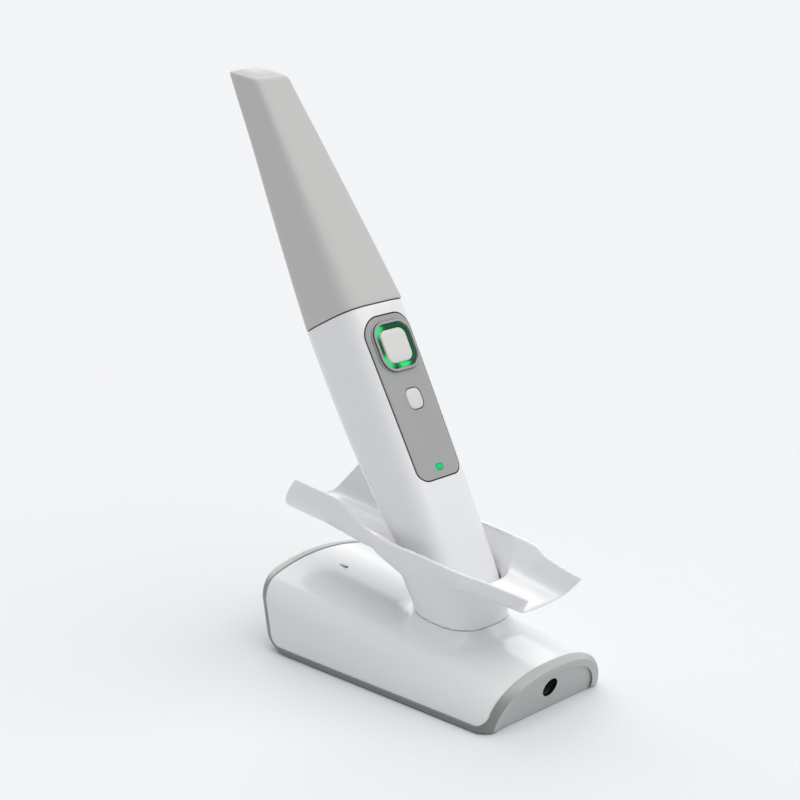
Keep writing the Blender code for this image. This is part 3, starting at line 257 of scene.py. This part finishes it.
lensCap = {"halfX": 2.1, "halfY": 1.3, "radius": 1.0,
           "rows": ((-1.0, 0.26), (-0.6, 0.24), (-0.25, 0.16), (-0.06, 0.02), (0, -0.15), (0, -2.0))}


def guideRadius(half):
    share = (half - guide["inner"]) / (guide["outer"] - guide["inner"])
    return guide["innerRadius"] + (guide["outerRadius"] - guide["innerRadius"]) * share


def key(name, cap, position):
    rings = []
    for grow, height in cap["rows"]:
        radius = max(cap["radius"] + grow * 0.8, 0.2)
        rings.append(roundedRing(cap["halfX"] + grow, cap["halfY"] + grow, radius, height, (0, position)))
    return smoothShade(skin(name, rings, panelFrame), 40)


rings = [roundedRing(half, half, guideRadius(half), height, (0, panel["scan"]))
         for half, height in guide["rows"]]
lightRing = smoothShade(skin("lightRingGlow", rings, panelFrame, loop=True), 40)
scanKey = key("scanKeyCap", scanCap, panel["scan"])
modeKey = key("modeKeyCap", modeCap, panel["mode"])
statusLens = key("statusGlow", lensCap, panel["lens"])

print("tip")
head = {"front": -4.7, "back": 13.0, "halfWidth": 10.6, "frontLength": 114.5, "backLength": 127.0,
        "seam": 138.5, "wall": 1.7, "lip": 0.4, "lipRounding": 0.45, "rounding": 1.8, "crown": 1.6,
        "crownRun": 5.2, "windowY": 11.3, "windowAlong": 114.0}


def tipRing(share, grow=0.0, drop=0.0):                     # from the seam, 0, to the head's slanted end, 1
    halfWidth = body["halfWidth"] + (head["halfWidth"] - body["halfWidth"]) * share
    frontLine = body["front"] + (head["front"] - body["front"]) * share
    backLine = body["back"] + (head["back"] - body["back"]) * share
    full = (head["backLength"] - head["frontLength"]) / (head["back"] - head["front"])
    slope = full * ramp(share, 0.75, 1)
    height = head["seam"] + head["frontLength"] * share - slope * head["front"] - drop
    return oval(halfWidth + grow, frontLine - grow, backLine + grow, height, slope,
                4.5 + 2.5 * share, 3 + 2 * share)


wall, lip, rounding = head["wall"], head["lip"], head["rounding"]
rings = [tipRing(0, -wall, lip)]
rings += [tipRing(0, -head["lipRounding"] * (1 - math.sin(a)), lip * math.cos(a)) for a in arcSteps(4)]
rings += [tipRing(k / 60) for k in range(1, 60)]
rings += [tipRing(1, -rounding * (1 - math.cos(a)), rounding * (1 - math.sin(a))) for a in arcSteps(7)]
rings += [tipRing(1, -rounding - head["crownRun"] * k / 9, -head["crown"] * (1 - (1 - k / 9) ** 2))
          for k in range(1, 10)]
tip = skin("sleeveMoulding", rings, handFrame)
hollow = [tipRing(0, -wall, 2)]
hollow += [tipRing(0.02 + 0.98 * k / 20, -wall) for k in range(20)]
hollow.append(tipRing(1, -wall, 2.2))
tip = cut(tip, skin("sleeveHollow", hollow, handFrame))
windowFrame = (handFrame @ Matrix.Translation((0, head["windowY"], head["seam"] + head["windowAlong"]))
               @ Matrix.Rotation(math.pi / 2, 4, "X"))
tip = smoothShade(cut(tip, block("tipWindow", 7, 8, 3, -5.1, 0.85, windowFrame)), 32)

print("cradle")
tray = {"front": -65.0, "back": 80.0, "height": 54.4, "climb": 0.1, "lean": 0.78, "wall": 2.1, "under": 1.5,
        "floor": 0.9, "floorHalf": 16.4, "crease": 4.2, "halfWidth": 24.2, "side": 11.2, "power": 2.7,
        "rounding": 1.1, "room": 0.8}
neck = {"front": -37.0, "back": 1.0, "halfWidth": 20.2, "widening": 6.2, "lengthening": 30.0, "power": 2.6,
        "start": 34.9, "top": 66.7, "play": 0.5,
        "foot": ((27, -2.6), (34.5, -2.6), (34.5, -0.05), (34.6, 0), (34.9, 0)),      # height, outwards
        "cheeks": ((27, 0, 0, 0), (34.5, 0, 0, 0), (39, 0.04, 0.06, 0.1), (44, 0.13, 0.18, 0.4),
                   (51, 0.34, 0.37, 0.8), (55, 0.6, 0.77, 1), (58, 0.83, 0.93, 1), (61, 0.97, 1, 1),
                   (67, 1.07, 1, 1))}                       # height, widening, lengthening, forward
mouth = ((49.7, 17.9, -31.8, 3, 3), (53, 18.5, -34.5, 8, 3.2), (56.4, 19.3, -37.0, 13, 3.6),
         (58, 20.0, -37.2, 14, 4.2), (62, 22.2, -37.6, 17, 4.6), (67, 24.9, -39, 21, 4.6))
groove = {"halfWidth": 7.8, "halfLength": 26.5, "radius": 6.3, "y": 30.5, "floor": 54.5, "rise": 9.1,
          "flare": 1.0}


def trayFloor(station):
    return tray["height"] + tray["climb"] * station


def traySize(station):                                      # half width and wall height at a station
    cheek = ramp(station, -42, -32) * ramp(station, 24, -10)
    side = tray["side"] + 7.8 * ramp(station, 24, 56) - 1.2 * ramp(station, -25, -65) + 0.7 * cheek
    return tray["halfWidth"] - 5.2 * ramp(station, -22, -68) + 2.2 * cheek, side


def mirrored(half, count=34):                               # whole section from its right half
    line = resample([(x, 0, z) for x, z in half], count, False)
    return [(-x, z) for x, _, z in line[:0:-1]] + [(x, z) for x, _, z in line]


def outerLine(station, shrink=0.0):
    halfWidth, side = traySize(station)
    base, height = trayFloor(station) - tray["under"] + shrink, side + tray["under"] - shrink
    power = 2 / tray["power"]
    return mirrored([((halfWidth - shrink) * math.sin(a) ** power, base + height * (1 - math.cos(a) ** power))
                     for a in arcSteps(240)])


def innerLine(station, grow=0.0):                           # flat floor, soft crease, flared walls
    halfWidth, side = traySize(station)
    floorHalf = tray["floorHalf"] - 2.9 * ramp(station, -28, -70) - 0.9 * ramp(station, 20, 60) + grow * 0.6
    corner = Vector((floorHalf, trayFloor(station) + tray["floor"] - grow))
    rim = Vector((halfWidth - tray["wall"] + grow, trayFloor(station) + side - grow * 0.1))
    start, end = corner - Vector((tray["crease"], 0)), corner + (rim - corner).normalized() * tray["crease"]
    crease = [start * (1 - s) ** 2 + corner * 2 * s * (1 - s) + end * s * s for s in np.linspace(0, 1, 17)]
    return mirrored([(0, corner.y)] + [(at.x, at.y) for at in crease] + [(rim.x, rim.y)])


def trayRing(station, section):                             # the tray's sections lean with the handpiece
    return [(x, station - tray["lean"] * (z - trayFloor(station)), z) for x, z in section]


def trayEnd(station, thin, along):
    return trayRing(station + along, outerLine(station, thin) + innerLine(station, thin)[::-1])


def traySkin(name):
    edge = tray["rounding"]
    ends = [(edge * (1 - math.sin(a)), edge * (1 - math.cos(a))) for a in arcSteps(4)]
    rings = [trayEnd(tray["front"], thin, along) for thin, along in ends]
    for k in range(1, 50):
        rings.append(trayEnd(tray["front"] + edge + (tray["back"] - tray["front"] - 2 * edge) * k / 50, 0, 0))
    rings += [trayEnd(tray["back"], thin, -along) for thin, along in reversed(ends)]
    return skin(name, rings)


def neckRing(height, grow, widening=0.0, lengthening=0.0, forward=0.0):
    return oval(neck["halfWidth"] + neck["widening"] * widening + grow, neck["front"] - forward - grow,
                neck["back"] + neck["lengthening"] * lengthening + grow, height, tray["climb"], neck["power"],
                neck["power"])


rings = [neckRing(height, grow) for height, grow in neck["foot"]]
for k in range(1, 34):
    height = neck["start"] + (neck["top"] - neck["start"]) * k / 33
    rings.append(neckRing(height, 0, *through(neck["cheeks"], height)))
cradle = skin("cradleMoulding", rings)
rings = []
for k in range(72):                                         # the tray's room, taken out of the neck
    station = -95 + 205 * k / 71
    line = innerLine(station, tray["room"])
    (left, leftTop), (right, rightTop) = line[0], line[-1]
    rings.append(trayRing(station, [(left, leftTop + 57)] + line + [(right, rightTop + 57)]))
cradle = cut(cradle, skin("trayRoom", rings))
cradle = fuse(cradle, traySkin("tray"))
rings = []
for height in np.linspace(mouth[0][0], mouth[-1][0], 25):
    halfWidth, frontLine, backLine, squareness = through(mouth, height)
    rings.append(oval(halfWidth, frontLine, backLine, height, tray["climb"], squareness, neck["power"]))
cradle = cut(cradle, skin("mouth", rings))
rings = [bodyRing(z, neck["play"]) for z in (-0.5, 5, 10, 15, 20, 25, 30, 35, 40)]
cradle = cut(cradle, skin("socket", rings, handFrame))
rings = []
for rise, flare in ((0, 0), (groove["rise"], groove["flare"])):
    ring = roundedRing(groove["halfWidth"] + flare, groove["halfLength"], groove["radius"], 0,
                       (0, groove["y"]))
    rings.append([(x, y, groove["floor"] + rise + tray["climb"] * y) for x, y, _ in ring])
cradle = cut(cradle, skin("groove", rings))
remesh(cradle, 0.61, 8)

print("dock")
dock = {"front": -67.8, "back": 71.8, "frontHeight": 22.9, "backHeight": 39.5, "halfWidth": 39.0,
        "power": 2.25, "shoulder": 12.0, "crown": 110.0, "taper": 4.4, "crownTaper": 0.7, "taperRun": 5.2,
        "taperPower": 1.3, "planRadius": 8.5, "topRounding": 3.0, "foot": 0.3,
        "frontLean": math.radians(16), "backLean": math.radians(10)}
border = {"low": 3.4, "radius": 6.5, "slant": math.radians(8.8), "front": 2.0, "back": 6.2, "reach": 79.0}
mound = ((1.5, 3.1), (2.3, 2.35), (3.2, 1.8), (4.2, 1.22), (5.2, 0.8), (6.3, 0.47), (7.5, 0.25), (9, 0.0),
         (10.5, -0.22), (14, -2.5))                         # outside the neck, over the crown
indicator = {"x": -4, "y": 53.0, "halfX": 1.1, "halfY": 2.5, "radius": 1.0}
inlet = {"height": 11.3, "hole": 4.6, "room": 5.6,          # rows: radius, depth of the jack
         "rows": ((5.2, -16.3), (5.2, -3.3), (3.5, -3.3), (3.3, -3.45), (3.2, -3.7), (3.2, -12), (1.0, -12),
                  (1.0, -6.2), (0.8, -5.8), (0.3, -5.7))}
recess = {"depth": 1.1, "side": 3.6, "top": 3.4, "foot": -1.5}


def dockHeight(y):
    return dock["frontHeight"] + (dock["backHeight"] - dock["frontHeight"]) * (y - dock["front"]) / (
        dock["back"] - dock["front"])


def dockEnd(side, height):                                  # the leaning end at a height, with its toe
    edge, slant, toe, stretch = ((dock["front"], dock["frontLean"], 2.0, 1.0) if side < 0 else
                                 (dock["back"], dock["backLean"], 8.0, 1.4))
    low = max(0.0, min(1.0, (toe - height) / toe))
    return edge + side * (math.tan(slant) * height - toe * stretch * (1 - math.sqrt(1 - low * low)))


def crownHeight(x, y):
    share = (y - dock["front"]) / (dock["back"] - dock["front"])
    low = dock["frontHeight"] * (1 - abs(x / dock["halfWidth"]) ** dock["power"]) ** (1 / dock["power"])
    high = dock["backHeight"] - dock["crown"] + math.sqrt(dock["crown"] ** 2 - x ** 2)
    return low + (high - low) * share


def footEdge(halfWidth, foot):
    return [(halfWidth - 0.5, foot), (halfWidth - 0.15, foot + 0.15), (halfWidth, foot + 0.5)]


def wholeArch(half):
    line = resample([(x, 0, z) for x, z in half], 60, False)
    return [(x, z) for x, _, z in line] + [(-x, z) for x, _, z in line[-2::-1]]


def lowArch(halfWidth, top, foot):                          # the front end's section
    base, power = max(foot, 0.0) + 0.5, 2 / dock["power"]
    half = footEdge(halfWidth, foot)
    half += [(halfWidth * math.cos(a) ** power, base + (top - base) * math.sin(a) ** power)
             for a in arcSteps(180)[1:-1]]
    return wholeArch(half + [(0.0, top)])


def highArch(halfWidth, top, shoulder, foot):               # the back end's: shoulders under a flat crown
    crown = dock["crown"]
    centreX = halfWidth - shoulder
    centreZ = max(top - crown + math.sqrt((crown - shoulder) ** 2 - centreX ** 2), foot + 2)
    turn = math.acos(centreX / (crown - shoulder))
    half = footEdge(halfWidth, foot)
    for k in range(41):
        angle = turn * k / 40
        half.append((centreX + shoulder * math.cos(angle), centreZ + shoulder * math.sin(angle)))
    last = half[-1][0]
    for k in range(1, 41):
        x = last * (1 - k / 40)
        half.append((x, top - crown + math.sqrt(crown ** 2 - x ** 2)))
    return wholeArch(half)


def dockSkin(name, grow, foot):
    nose, tail = [], []
    for k in range(9):
        along = dock["taperRun"] * k / 8 - grow
        taper = (1 - k / 8) ** dock["taperPower"]
        top = dockHeight(dock["front"] + along) + grow - dock["crownTaper"] * taper
        section = lowArch(dock["halfWidth"] + grow - dock["taper"] * taper, top, foot)
        nose.append([(x, dockEnd(-1, max(z, 0.0)) + along, z) for x, z in section])
    for a in reversed(arcSteps(8)):
        along = dock["planRadius"] * (1 - math.cos(a)) - grow
        inset = 1 - math.sin(a)
        top = dockHeight(dock["back"] - along) + grow - dock["topRounding"] * inset
        section = highArch(dock["halfWidth"] + grow - dock["planRadius"] * inset, top,
                           dock["shoulder"] + grow, foot)
        tail.append([(x, dockEnd(1, max(z, 0.0)) - along, z) for x, z in section])
    first, last = np.array(nose[-1]), np.array(tail[0])
    between = [first + (last - first) * k / 24 for k in range(1, 24)]
    return skin(name, nose + between + tail, ladder=True)


def saddle(name, grow):                                     # over the top and down both flanks to the rails
    low, radius = border["low"] - grow, border["radius"] + grow
    frontSlant, backSlant = math.tan(border["slant"]), math.tan(dock["backLean"])
    frontLine, backLine = dock["front"] + border["front"] - grow, dock["back"] - border["back"] + grow
    outline = [(frontLine - frontSlant * border["reach"], border["reach"])]
    for k in range(13):
        angle = math.radians(180 + 90 * k / 12)
        outline.append((frontLine - frontSlant * (low + radius) + radius * (1 + math.cos(angle)),
                        low + radius * (1 + math.sin(angle))))
    for k in range(13):
        angle = math.radians(270 + 90 * k / 12)
        outline.append((backLine + backSlant * (low + radius) - radius * (1 - math.cos(angle)),
                        low + radius * (1 + math.sin(angle))))
    outline.append((backLine + backSlant * border["reach"], border["reach"]))
    return skin(name, [[(x, y, z) for y, z in outline] for x in (-border["reach"], border["reach"])])


def disc(radius, height, count=64):
    return [(radius * math.cos(math.tau * k / count), radius * math.sin(math.tau * k / count), height)
            for k in range(count)]


inletY = dock["front"] - math.tan(dock["frontLean"]) * inlet["height"]
inletFrame = (Matrix.Translation((0, inletY, inlet["height"]))
              @ Matrix.Rotation(math.pi / 2 + dock["frontLean"], 4, "X"))

shell = combine(dockSkin("shellMoulding", 0, dock["foot"]), saddle("shellSaddle", 0), "INTERSECT")
rings = [[(x, y, crownHeight(x, y) + rise) for x, y, _ in neckRing(0, grow)]
         for grow, rise in reversed(mound)]
rings += [neckRing(34.25, 0.16), neckRing(34.42, 0.04)]
shell = fuse(shell, skin("mound", rings))
height = dockHeight(indicator["y"])
shell = cut(shell, block("indicatorOpening", indicator["halfX"], indicator["halfY"], indicator["radius"],
                         height - 9, height + 9, None, (indicator["x"], indicator["y"])))
shell = cut(shell, skin("jackRoom", [disc(inlet["room"], -18), disc(inlet["room"], 5)], inletFrame))
smoothShade(shell, 30)

chassis = dockSkin("chassisMoulding", 0.4, dock["foot"])
chassis = cut(chassis, dockSkin("chassisHollow", -3, -3))
chassis = cut(chassis, saddle("chassisSaddle", 0.25))
section = lowArch(dock["halfWidth"] - dock["taper"] - recess["side"], dock["frontHeight"] - recess["top"],
                  recess["foot"])
rings = [[(x, dock["front"] - math.tan(dock["frontLean"]) * z - 0.4 + depth, z) for x, z in section]
         for depth in (recess["depth"], -20)]
chassis = cut(chassis, skin("endRecess", rings, ladder=True))
chassis = cut(chassis, skin("jackHole", [disc(inlet["hole"], -20), disc(inlet["hole"], 5)], inletFrame))
smoothShade(chassis, 30)

jack = smoothShade(skin("jackMoulding", [disc(*row) for row in inlet["rows"]], inletFrame), 35)
rings = []
for grow, z in ((-0.5, 137.4), (-0.5, 138.2), (-2.1, 138.2), (-2.1, 137.4)):
    ring = bodyRing(137, grow)
    ring[:, 2] = z
    rings.append(ring)
seal = smoothShade(skin("sealMoulding", rings, handFrame, loop=True), 30)

print("finishes")


def socket(group, name, kind, way="INPUT", value=None):
    item = group.interface.new_socket(name=name, in_out=way, socket_type=kind)
    if value is not None:
        item.default_value = value


def mathNode(tree, operation, value=None):
    item = tree.nodes.new("ShaderNodeMath")
    item.operation = operation
    if value is not None:
        item.inputs[1].default_value = value
    return item


def mouldedGroup():                                         # even grain and faint unevenness
    group = bpy.data.node_groups.new("mouldedSkin", "ShaderNodeTree")
    socket(group, "Colour", "NodeSocketColor", value=(0.8, 0.8, 0.8, 1))
    for name, value in (("Shade", 0.03), ("Roughness", 0.3), ("Grain", 1200.0), ("Depth", 0.1)):
        socket(group, name, "NodeSocketFloat", value=value)
    socket(group, "Colour", "NodeSocketColor", "OUTPUT")
    socket(group, "Roughness", "NodeSocketFloat", "OUTPUT")
    socket(group, "Normal", "NodeSocketVector", "OUTPUT")
    make, link = group.nodes.new, group.links.new
    entry, leave, place = make("NodeGroupInput"), make("NodeGroupOutput"), make("ShaderNodeTexCoord")
    broad, fine = make("ShaderNodeTexNoise"), make("ShaderNodeTexNoise")
    broad.inputs["Scale"].default_value = 22.0
    broad.inputs["Detail"].default_value = 3.0
    fine.inputs["Detail"].default_value = 2.0
    link(place.outputs["Object"], broad.inputs["Vector"])
    link(place.outputs["Object"], fine.inputs["Vector"])
    link(entry.outputs["Grain"], fine.inputs["Scale"])
    spread = mathNode(group, "SUBTRACT", 0.5)
    amount, level = mathNode(group, "MULTIPLY"), mathNode(group, "ADD", 1.0)
    rough = mathNode(group, "MULTIPLY_ADD", 0.12)
    link(broad.outputs["Fac"], spread.inputs[0])
    link(spread.outputs[0], amount.inputs[0])
    link(entry.outputs["Shade"], amount.inputs[1])
    link(amount.outputs[0], level.inputs[0])
    tone = make("ShaderNodeVectorMath")
    tone.operation = "SCALE"
    link(entry.outputs["Colour"], tone.inputs[0])
    link(level.outputs[0], tone.inputs["Scale"])
    link(tone.outputs[0], leave.inputs["Colour"])
    link(spread.outputs[0], rough.inputs[0])
    link(entry.outputs["Roughness"], rough.inputs[2])
    link(rough.outputs[0], leave.inputs["Roughness"])
    bump = make("ShaderNodeBump")
    bump.inputs["Distance"].default_value = 0.00006
    link(entry.outputs["Depth"], bump.inputs["Strength"])
    link(fine.outputs["Fac"], bump.inputs["Height"])
    link(bump.outputs["Normal"], leave.inputs["Normal"])
    return group


moulded = mouldedGroup()


def finish(name, colour, roughness, shade, grain, depth, **settings):
    material = bpy.data.materials.new(name)
    material.use_nodes = True
    link = material.node_tree.links.new
    shader = material.node_tree.nodes["Principled BSDF"]
    group = material.node_tree.nodes.new("ShaderNodeGroup")
    group.name = "moulded"
    group.node_tree = moulded
    for label, value in (("Colour", (*colour, 1)), ("Shade", shade), ("Roughness", roughness),
                         ("Grain", grain), ("Depth", depth)):
        group.inputs[label].default_value = value
    link(group.outputs["Colour"], shader.inputs["Base Color"])
    link(group.outputs["Roughness"], shader.inputs["Roughness"])
    link(group.outputs["Normal"], shader.inputs["Normal"])
    for label, value in settings.items():
        shader.inputs[label.replace("_", " ")].default_value = value
    return material


def chassisFinishFlankShade():                                        # painted shade: the sideways-facing flanks painted darker than the ends
    material = finish("greyChassisPlastic", (0.3, 0.31, 0.31), 0.38, 0.04, 2000, 0.2)
    make, link = material.node_tree.nodes.new, material.node_tree.links.new
    place, split, side = make("ShaderNodeTexCoord"), make("ShaderNodeSeparateXYZ"), make("ShaderNodeMath")
    side.operation = "ABSOLUTE"
    step, flankShadeMix = make("ShaderNodeMapRange"), make("ShaderNodeMix")
    step.interpolation_type = "SMOOTHSTEP"
    step.inputs["From Min"].default_value = 0.3
    step.inputs["From Max"].default_value = 0.78
    flankShadeMix.data_type = "RGBA"
    # painted shade: A is the grey of the ends and top, B the darker grey painted on the flanks
    flankShadeMix.inputs["A"].default_value = (0.43, 0.445, 0.44, 1)
    flankShadeMix.inputs["B"].default_value = (0.2, 0.205, 0.205, 1)
    link(place.outputs["Normal"], split.inputs[0])
    link(split.outputs["X"], side.inputs[0])
    link(side.outputs[0], step.inputs["Value"])
    link(step.outputs["Result"], flankShadeMix.inputs["Factor"])
    link(flankShadeMix.outputs["Result"], material.node_tree.nodes["moulded"].inputs["Colour"])
    return material


def glow(name, base, light, strength, spots):               # lit light guide, brighter over its lamps
    material = finish(name, base, 0.25, 0.02, 900, 0.02, Specular_IOR_Level=0.1)
    tree = material.node_tree
    shader = tree.nodes["Principled BSDF"]
    shader.inputs["Emission Color"].default_value = (*light, 1)
    shader.inputs["Emission Strength"].default_value = strength
    place = tree.nodes.new("ShaderNodeTexCoord")
    total = None
    for spot in spots:
        apart, near = tree.nodes.new("ShaderNodeVectorMath"), tree.nodes.new("ShaderNodeMapRange")
        apart.operation = "DISTANCE"
        apart.inputs[1].default_value = tuple(panelFrame @ Vector(spot) * mm)
        near.interpolation_type = "SMOOTHERSTEP"
        near.inputs["From Min"].default_value = 0.0055
        near.inputs["From Max"].default_value = 0.0008
        near.inputs["To Max"].default_value = strength * 15
        add = mathNode(tree, "ADD", strength)
        tree.links.new(place.outputs["Object"], apart.inputs[0])
        tree.links.new(apart.outputs["Value"], near.inputs["Value"])
        tree.links.new(near.outputs["Result"], add.inputs[0])
        if total:
            tree.links.new(total, add.inputs[1])
        total = add.outputs[0]
    if total:
        tree.links.new(total, shader.inputs["Emission Strength"])
    return material


jackBlack = finish("jackSleeve", (0.006, 0.006, 0.006), 0.6, 0.1, 1500, 0.1, Specular_IOR_Level=0.2)
# black plastic of the CAD parts, also used as painted shade in the panel's pocket
black = finish("blackPlastic", (0.018, 0.018, 0.02), 0.42, 0.2, 1500, 0.2)
# painted shade: a near-black finish for the bezel's sideways outer walls
bezelWallShade = finish("bezelWallShade", (0.05, 0.05, 0.052), 0.5, 0.04, 2200, 0.25)
lampGlow = glow("litLamp", (0.01, 0.3, 0.09), (0.0, 0.62, 0.17), 0.5, [])
slots = {
    "gloss_white": finish("glossWhitePlastic", (0.79, 0.795, 0.805), 0.17, 0.02, 900, 0.05),
    "tip_grey": finish("satinTipPlastic", (0.53, 0.527, 0.515), 0.42, 0.03, 1800, 0.16,
                       Specular_IOR_Level=0.2),
    "panel_grey": finish("greyPanelPlastic", (0.34, 0.34, 0.34), 0.40, 0.04, 2200, 0.25),
    "chassis_grey": chassisFinishFlankShade(),
    "button_white": finish("keyCapPlastic", (0.66, 0.66, 0.64), 0.36, 0.02, 1800, 0.1),
    "green_light": glow("litRing", (0.004, 0.045, 0.016), (0.02, 0.5, 0.13), 0.09,
                        [(-8.2, 125.2, 0.9), (-8.6, 110.2, 0.9), (1.0, 108.2, 0.9)]),
    "clear_glass": finish("clearGlass", (0.85, 0.9, 0.92), 0.05, 0.02, 600, 0.0,
                          Transmission_Weight=0.85, IOR=1.5),
    "mirror_glass": finish("mirrorCoat", (0.9, 0.91, 0.92), 0.04, 0.02, 600, 0.0, Metallic=1.0),
    "black_rubber": finish("blackRubber", (0.03, 0.03, 0.03), 0.75, 0.2, 1500, 0.5),
    "black_plastic": black,
    "board_green": finish("boardGreen", (0.03, 0.2, 0.09), 0.45, 0.3, 700, 0.3),
    "steel": finish("machinedSteel", (0.56, 0.57, 0.58), 0.33, 0.1, 2600, 0.3, Metallic=1.0),
    "contact_gold": finish("contactGold", (0.86, 0.62, 0.26), 0.26, 0.1, 2600, 0.2, Metallic=1.0),
    "battery_wrap": finish("batteryWrap", (0.06, 0.17, 0.42), 0.35, 0.1, 900, 0.1)}
pieces = ((housing, "housing", "dock_and_grip", "gloss_white"),
          (front, "control_panel", "dock_and_grip", "panel_grey"),
          (lightRing, "light_ring", "dock_and_grip", "green_light"),
          (scanKey, "scan_button", "scan_key", "button_white"),
          (modeKey, "mode_button", "mode_key", "button_white"),
          (statusLens, "status_lens", "dock_and_grip", "green_light"),
          (tip, "tip_sleeve", "tip", "tip_grey"),
          (cradle, "cradle", "dock_and_grip", "gloss_white"),
          (shell, "dock_shell", "dock_and_grip", "gloss_white"),
          (chassis, "dock_chassis", "dock_and_grip", "chassis_grey"),
          (jack, "power_jack", "dock_and_grip", "black_plastic"),
          (seal, "seal_ring", "dock_and_grip", "black_rubber"))
special = {"status_lens": lampGlow, "power_jack": jackBlack}

for item, node, bodyName, slotName in pieces:
    item.data.materials.clear()
    item.data.materials.append(special.get(node, slots[slotName]))
    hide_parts(node)
    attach(item, bodyName)
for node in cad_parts.values():                        # the CAD solids that stay get the same finishes
    for k, held in enumerate(node.data.materials):
        node.data.materials[k] = slots[held.name.split(".")[0]]


def paintFaces(item, material, place, inside):              # faces whose centre and normal pass the test
    item.data.materials.append(material)
    turn = place.to_3x3().inverted()
    for face in item.data.polygons:
        if inside(*(place.inverted() @ (face.center / mm)), abs((turn @ face.normal).z)):
            face.material_index = 1


def inShadedPocket(x, y, z, facing):                              # painted shade: the white moulding in the pocket behind the panel is painted black
    halfWidth, frontLine, backLine = bodyLines(z)
    bulge = (1 - min(1.0, abs(x / halfWidth)) ** 4) ** 0.25
    surface = (frontLine + backLine - (backLine - frontLine) * bulge) / 2
    return abs(x) < 15.5 and 53.5 < z < 133 and surface + 0.2 < y < 0


def inJackHole(x, y, z, facing):                            # the sleeve of the power jack shows in its hole
    return math.hypot(x, y) < inlet["hole"] + 0.02 and -3.6 < z < 0.1 and facing < 0.5


# painted shade: the bezel's outer walls, outside the ring hole and facing sideways, get the dark finish
def onBezelShadedWall(x, y, z, facing):
    return 0.02 < z < 1.2 and max(abs(x), abs(y - panel["scan"])) > 9 and facing < 0.6


# painted shade: black on the housing's faces in the pocket around the panel
paintFaces(housing, black, handFrame, inShadedPocket)
paintFaces(chassis, jackBlack, inletFrame, inJackHole)
paintFaces(front, bezelWallShade, panelFrame, onBezelShadedWall)

print("floor, light and camera")
suns = (("keySun", 1.6, 75, (0.2, -0.4, 0.88)), ("backSun", 1.15, 58, (0.38, 0.76, 0.52)))
view = {"place": (-0.63213, -0.58802, 0.37672), "tilt": math.radians(16.1), "turn": math.radians(-46.1),
        "lens": 91.35}

bpy.ops.mesh.primitive_plane_add(size=14, location=(0, 0, 0))
floor = bpy.context.active_object
floor.name = "floor"
pale = bpy.data.materials.new("paleFloor")
pale.use_nodes = True
shader = pale.node_tree.nodes["Principled BSDF"]
shader.inputs["Base Color"].default_value = (0.785, 0.797, 0.811, 1)
shader.inputs["Roughness"].default_value = 0.9
shader.inputs["Specular IOR Level"].default_value = 0.0
floor.data.materials.append(pale)

world = bpy.data.worlds.new("studio")
bpy.context.scene.world = world
world.use_nodes = True
make, link = world.node_tree.nodes.new, world.node_tree.links.new
back = world.node_tree.nodes["Background"]
back.inputs["Color"].default_value = (0.985, 0.992, 1, 1)
back.inputs["Strength"].default_value = 0.5
seen = make("ShaderNodeBackground")                         # what the camera and reflections see
seen.inputs["Color"].default_value = (0.905, 0.922, 0.939, 1)
rays, choose, straight = make("ShaderNodeLightPath"), make("ShaderNodeMixShader"), make("ShaderNodeMath")
straight.operation = "MAXIMUM"
link(rays.outputs["Is Camera Ray"], straight.inputs[0])
link(rays.outputs["Is Glossy Ray"], straight.inputs[1])
link(straight.outputs[0], choose.inputs["Fac"])
link(back.outputs["Background"], choose.inputs[1])
link(seen.outputs["Background"], choose.inputs[2])
link(choose.outputs["Shader"], world.node_tree.nodes["World Output"].inputs["Surface"])

for name, energy, spread, place in suns:
    sun = bpy.data.objects.new(name, bpy.data.lights.new(name, "SUN"))
    bpy.context.scene.collection.objects.link(sun)
    sun.data.energy = energy
    sun.data.angle = math.radians(spread)
    sun.location = place
    sun.rotation_euler = (-sun.location).to_track_quat("-Z", "Y").to_euler()

tilt, turn = view["tilt"], view["turn"]
backward = Vector((math.sin(turn) * math.cos(tilt), -math.cos(turn) * math.cos(tilt), math.sin(tilt)))
right = (-backward).cross(Vector((0, 0, 1))).normalized()
camera = bpy.data.objects.new("camera", bpy.data.cameras.new("camera"))
bpy.context.scene.collection.objects.link(camera)
camera.matrix_world = (Matrix.Translation(view["place"])
                       @ Matrix((right, right.cross(-backward), backward)).transposed().to_4x4())
camera.data.lens = view["lens"]
camera.data.sensor_width = 36
bpy.context.scene.camera = camera
bpy.context.scene.view_settings.view_transform = "Standard"
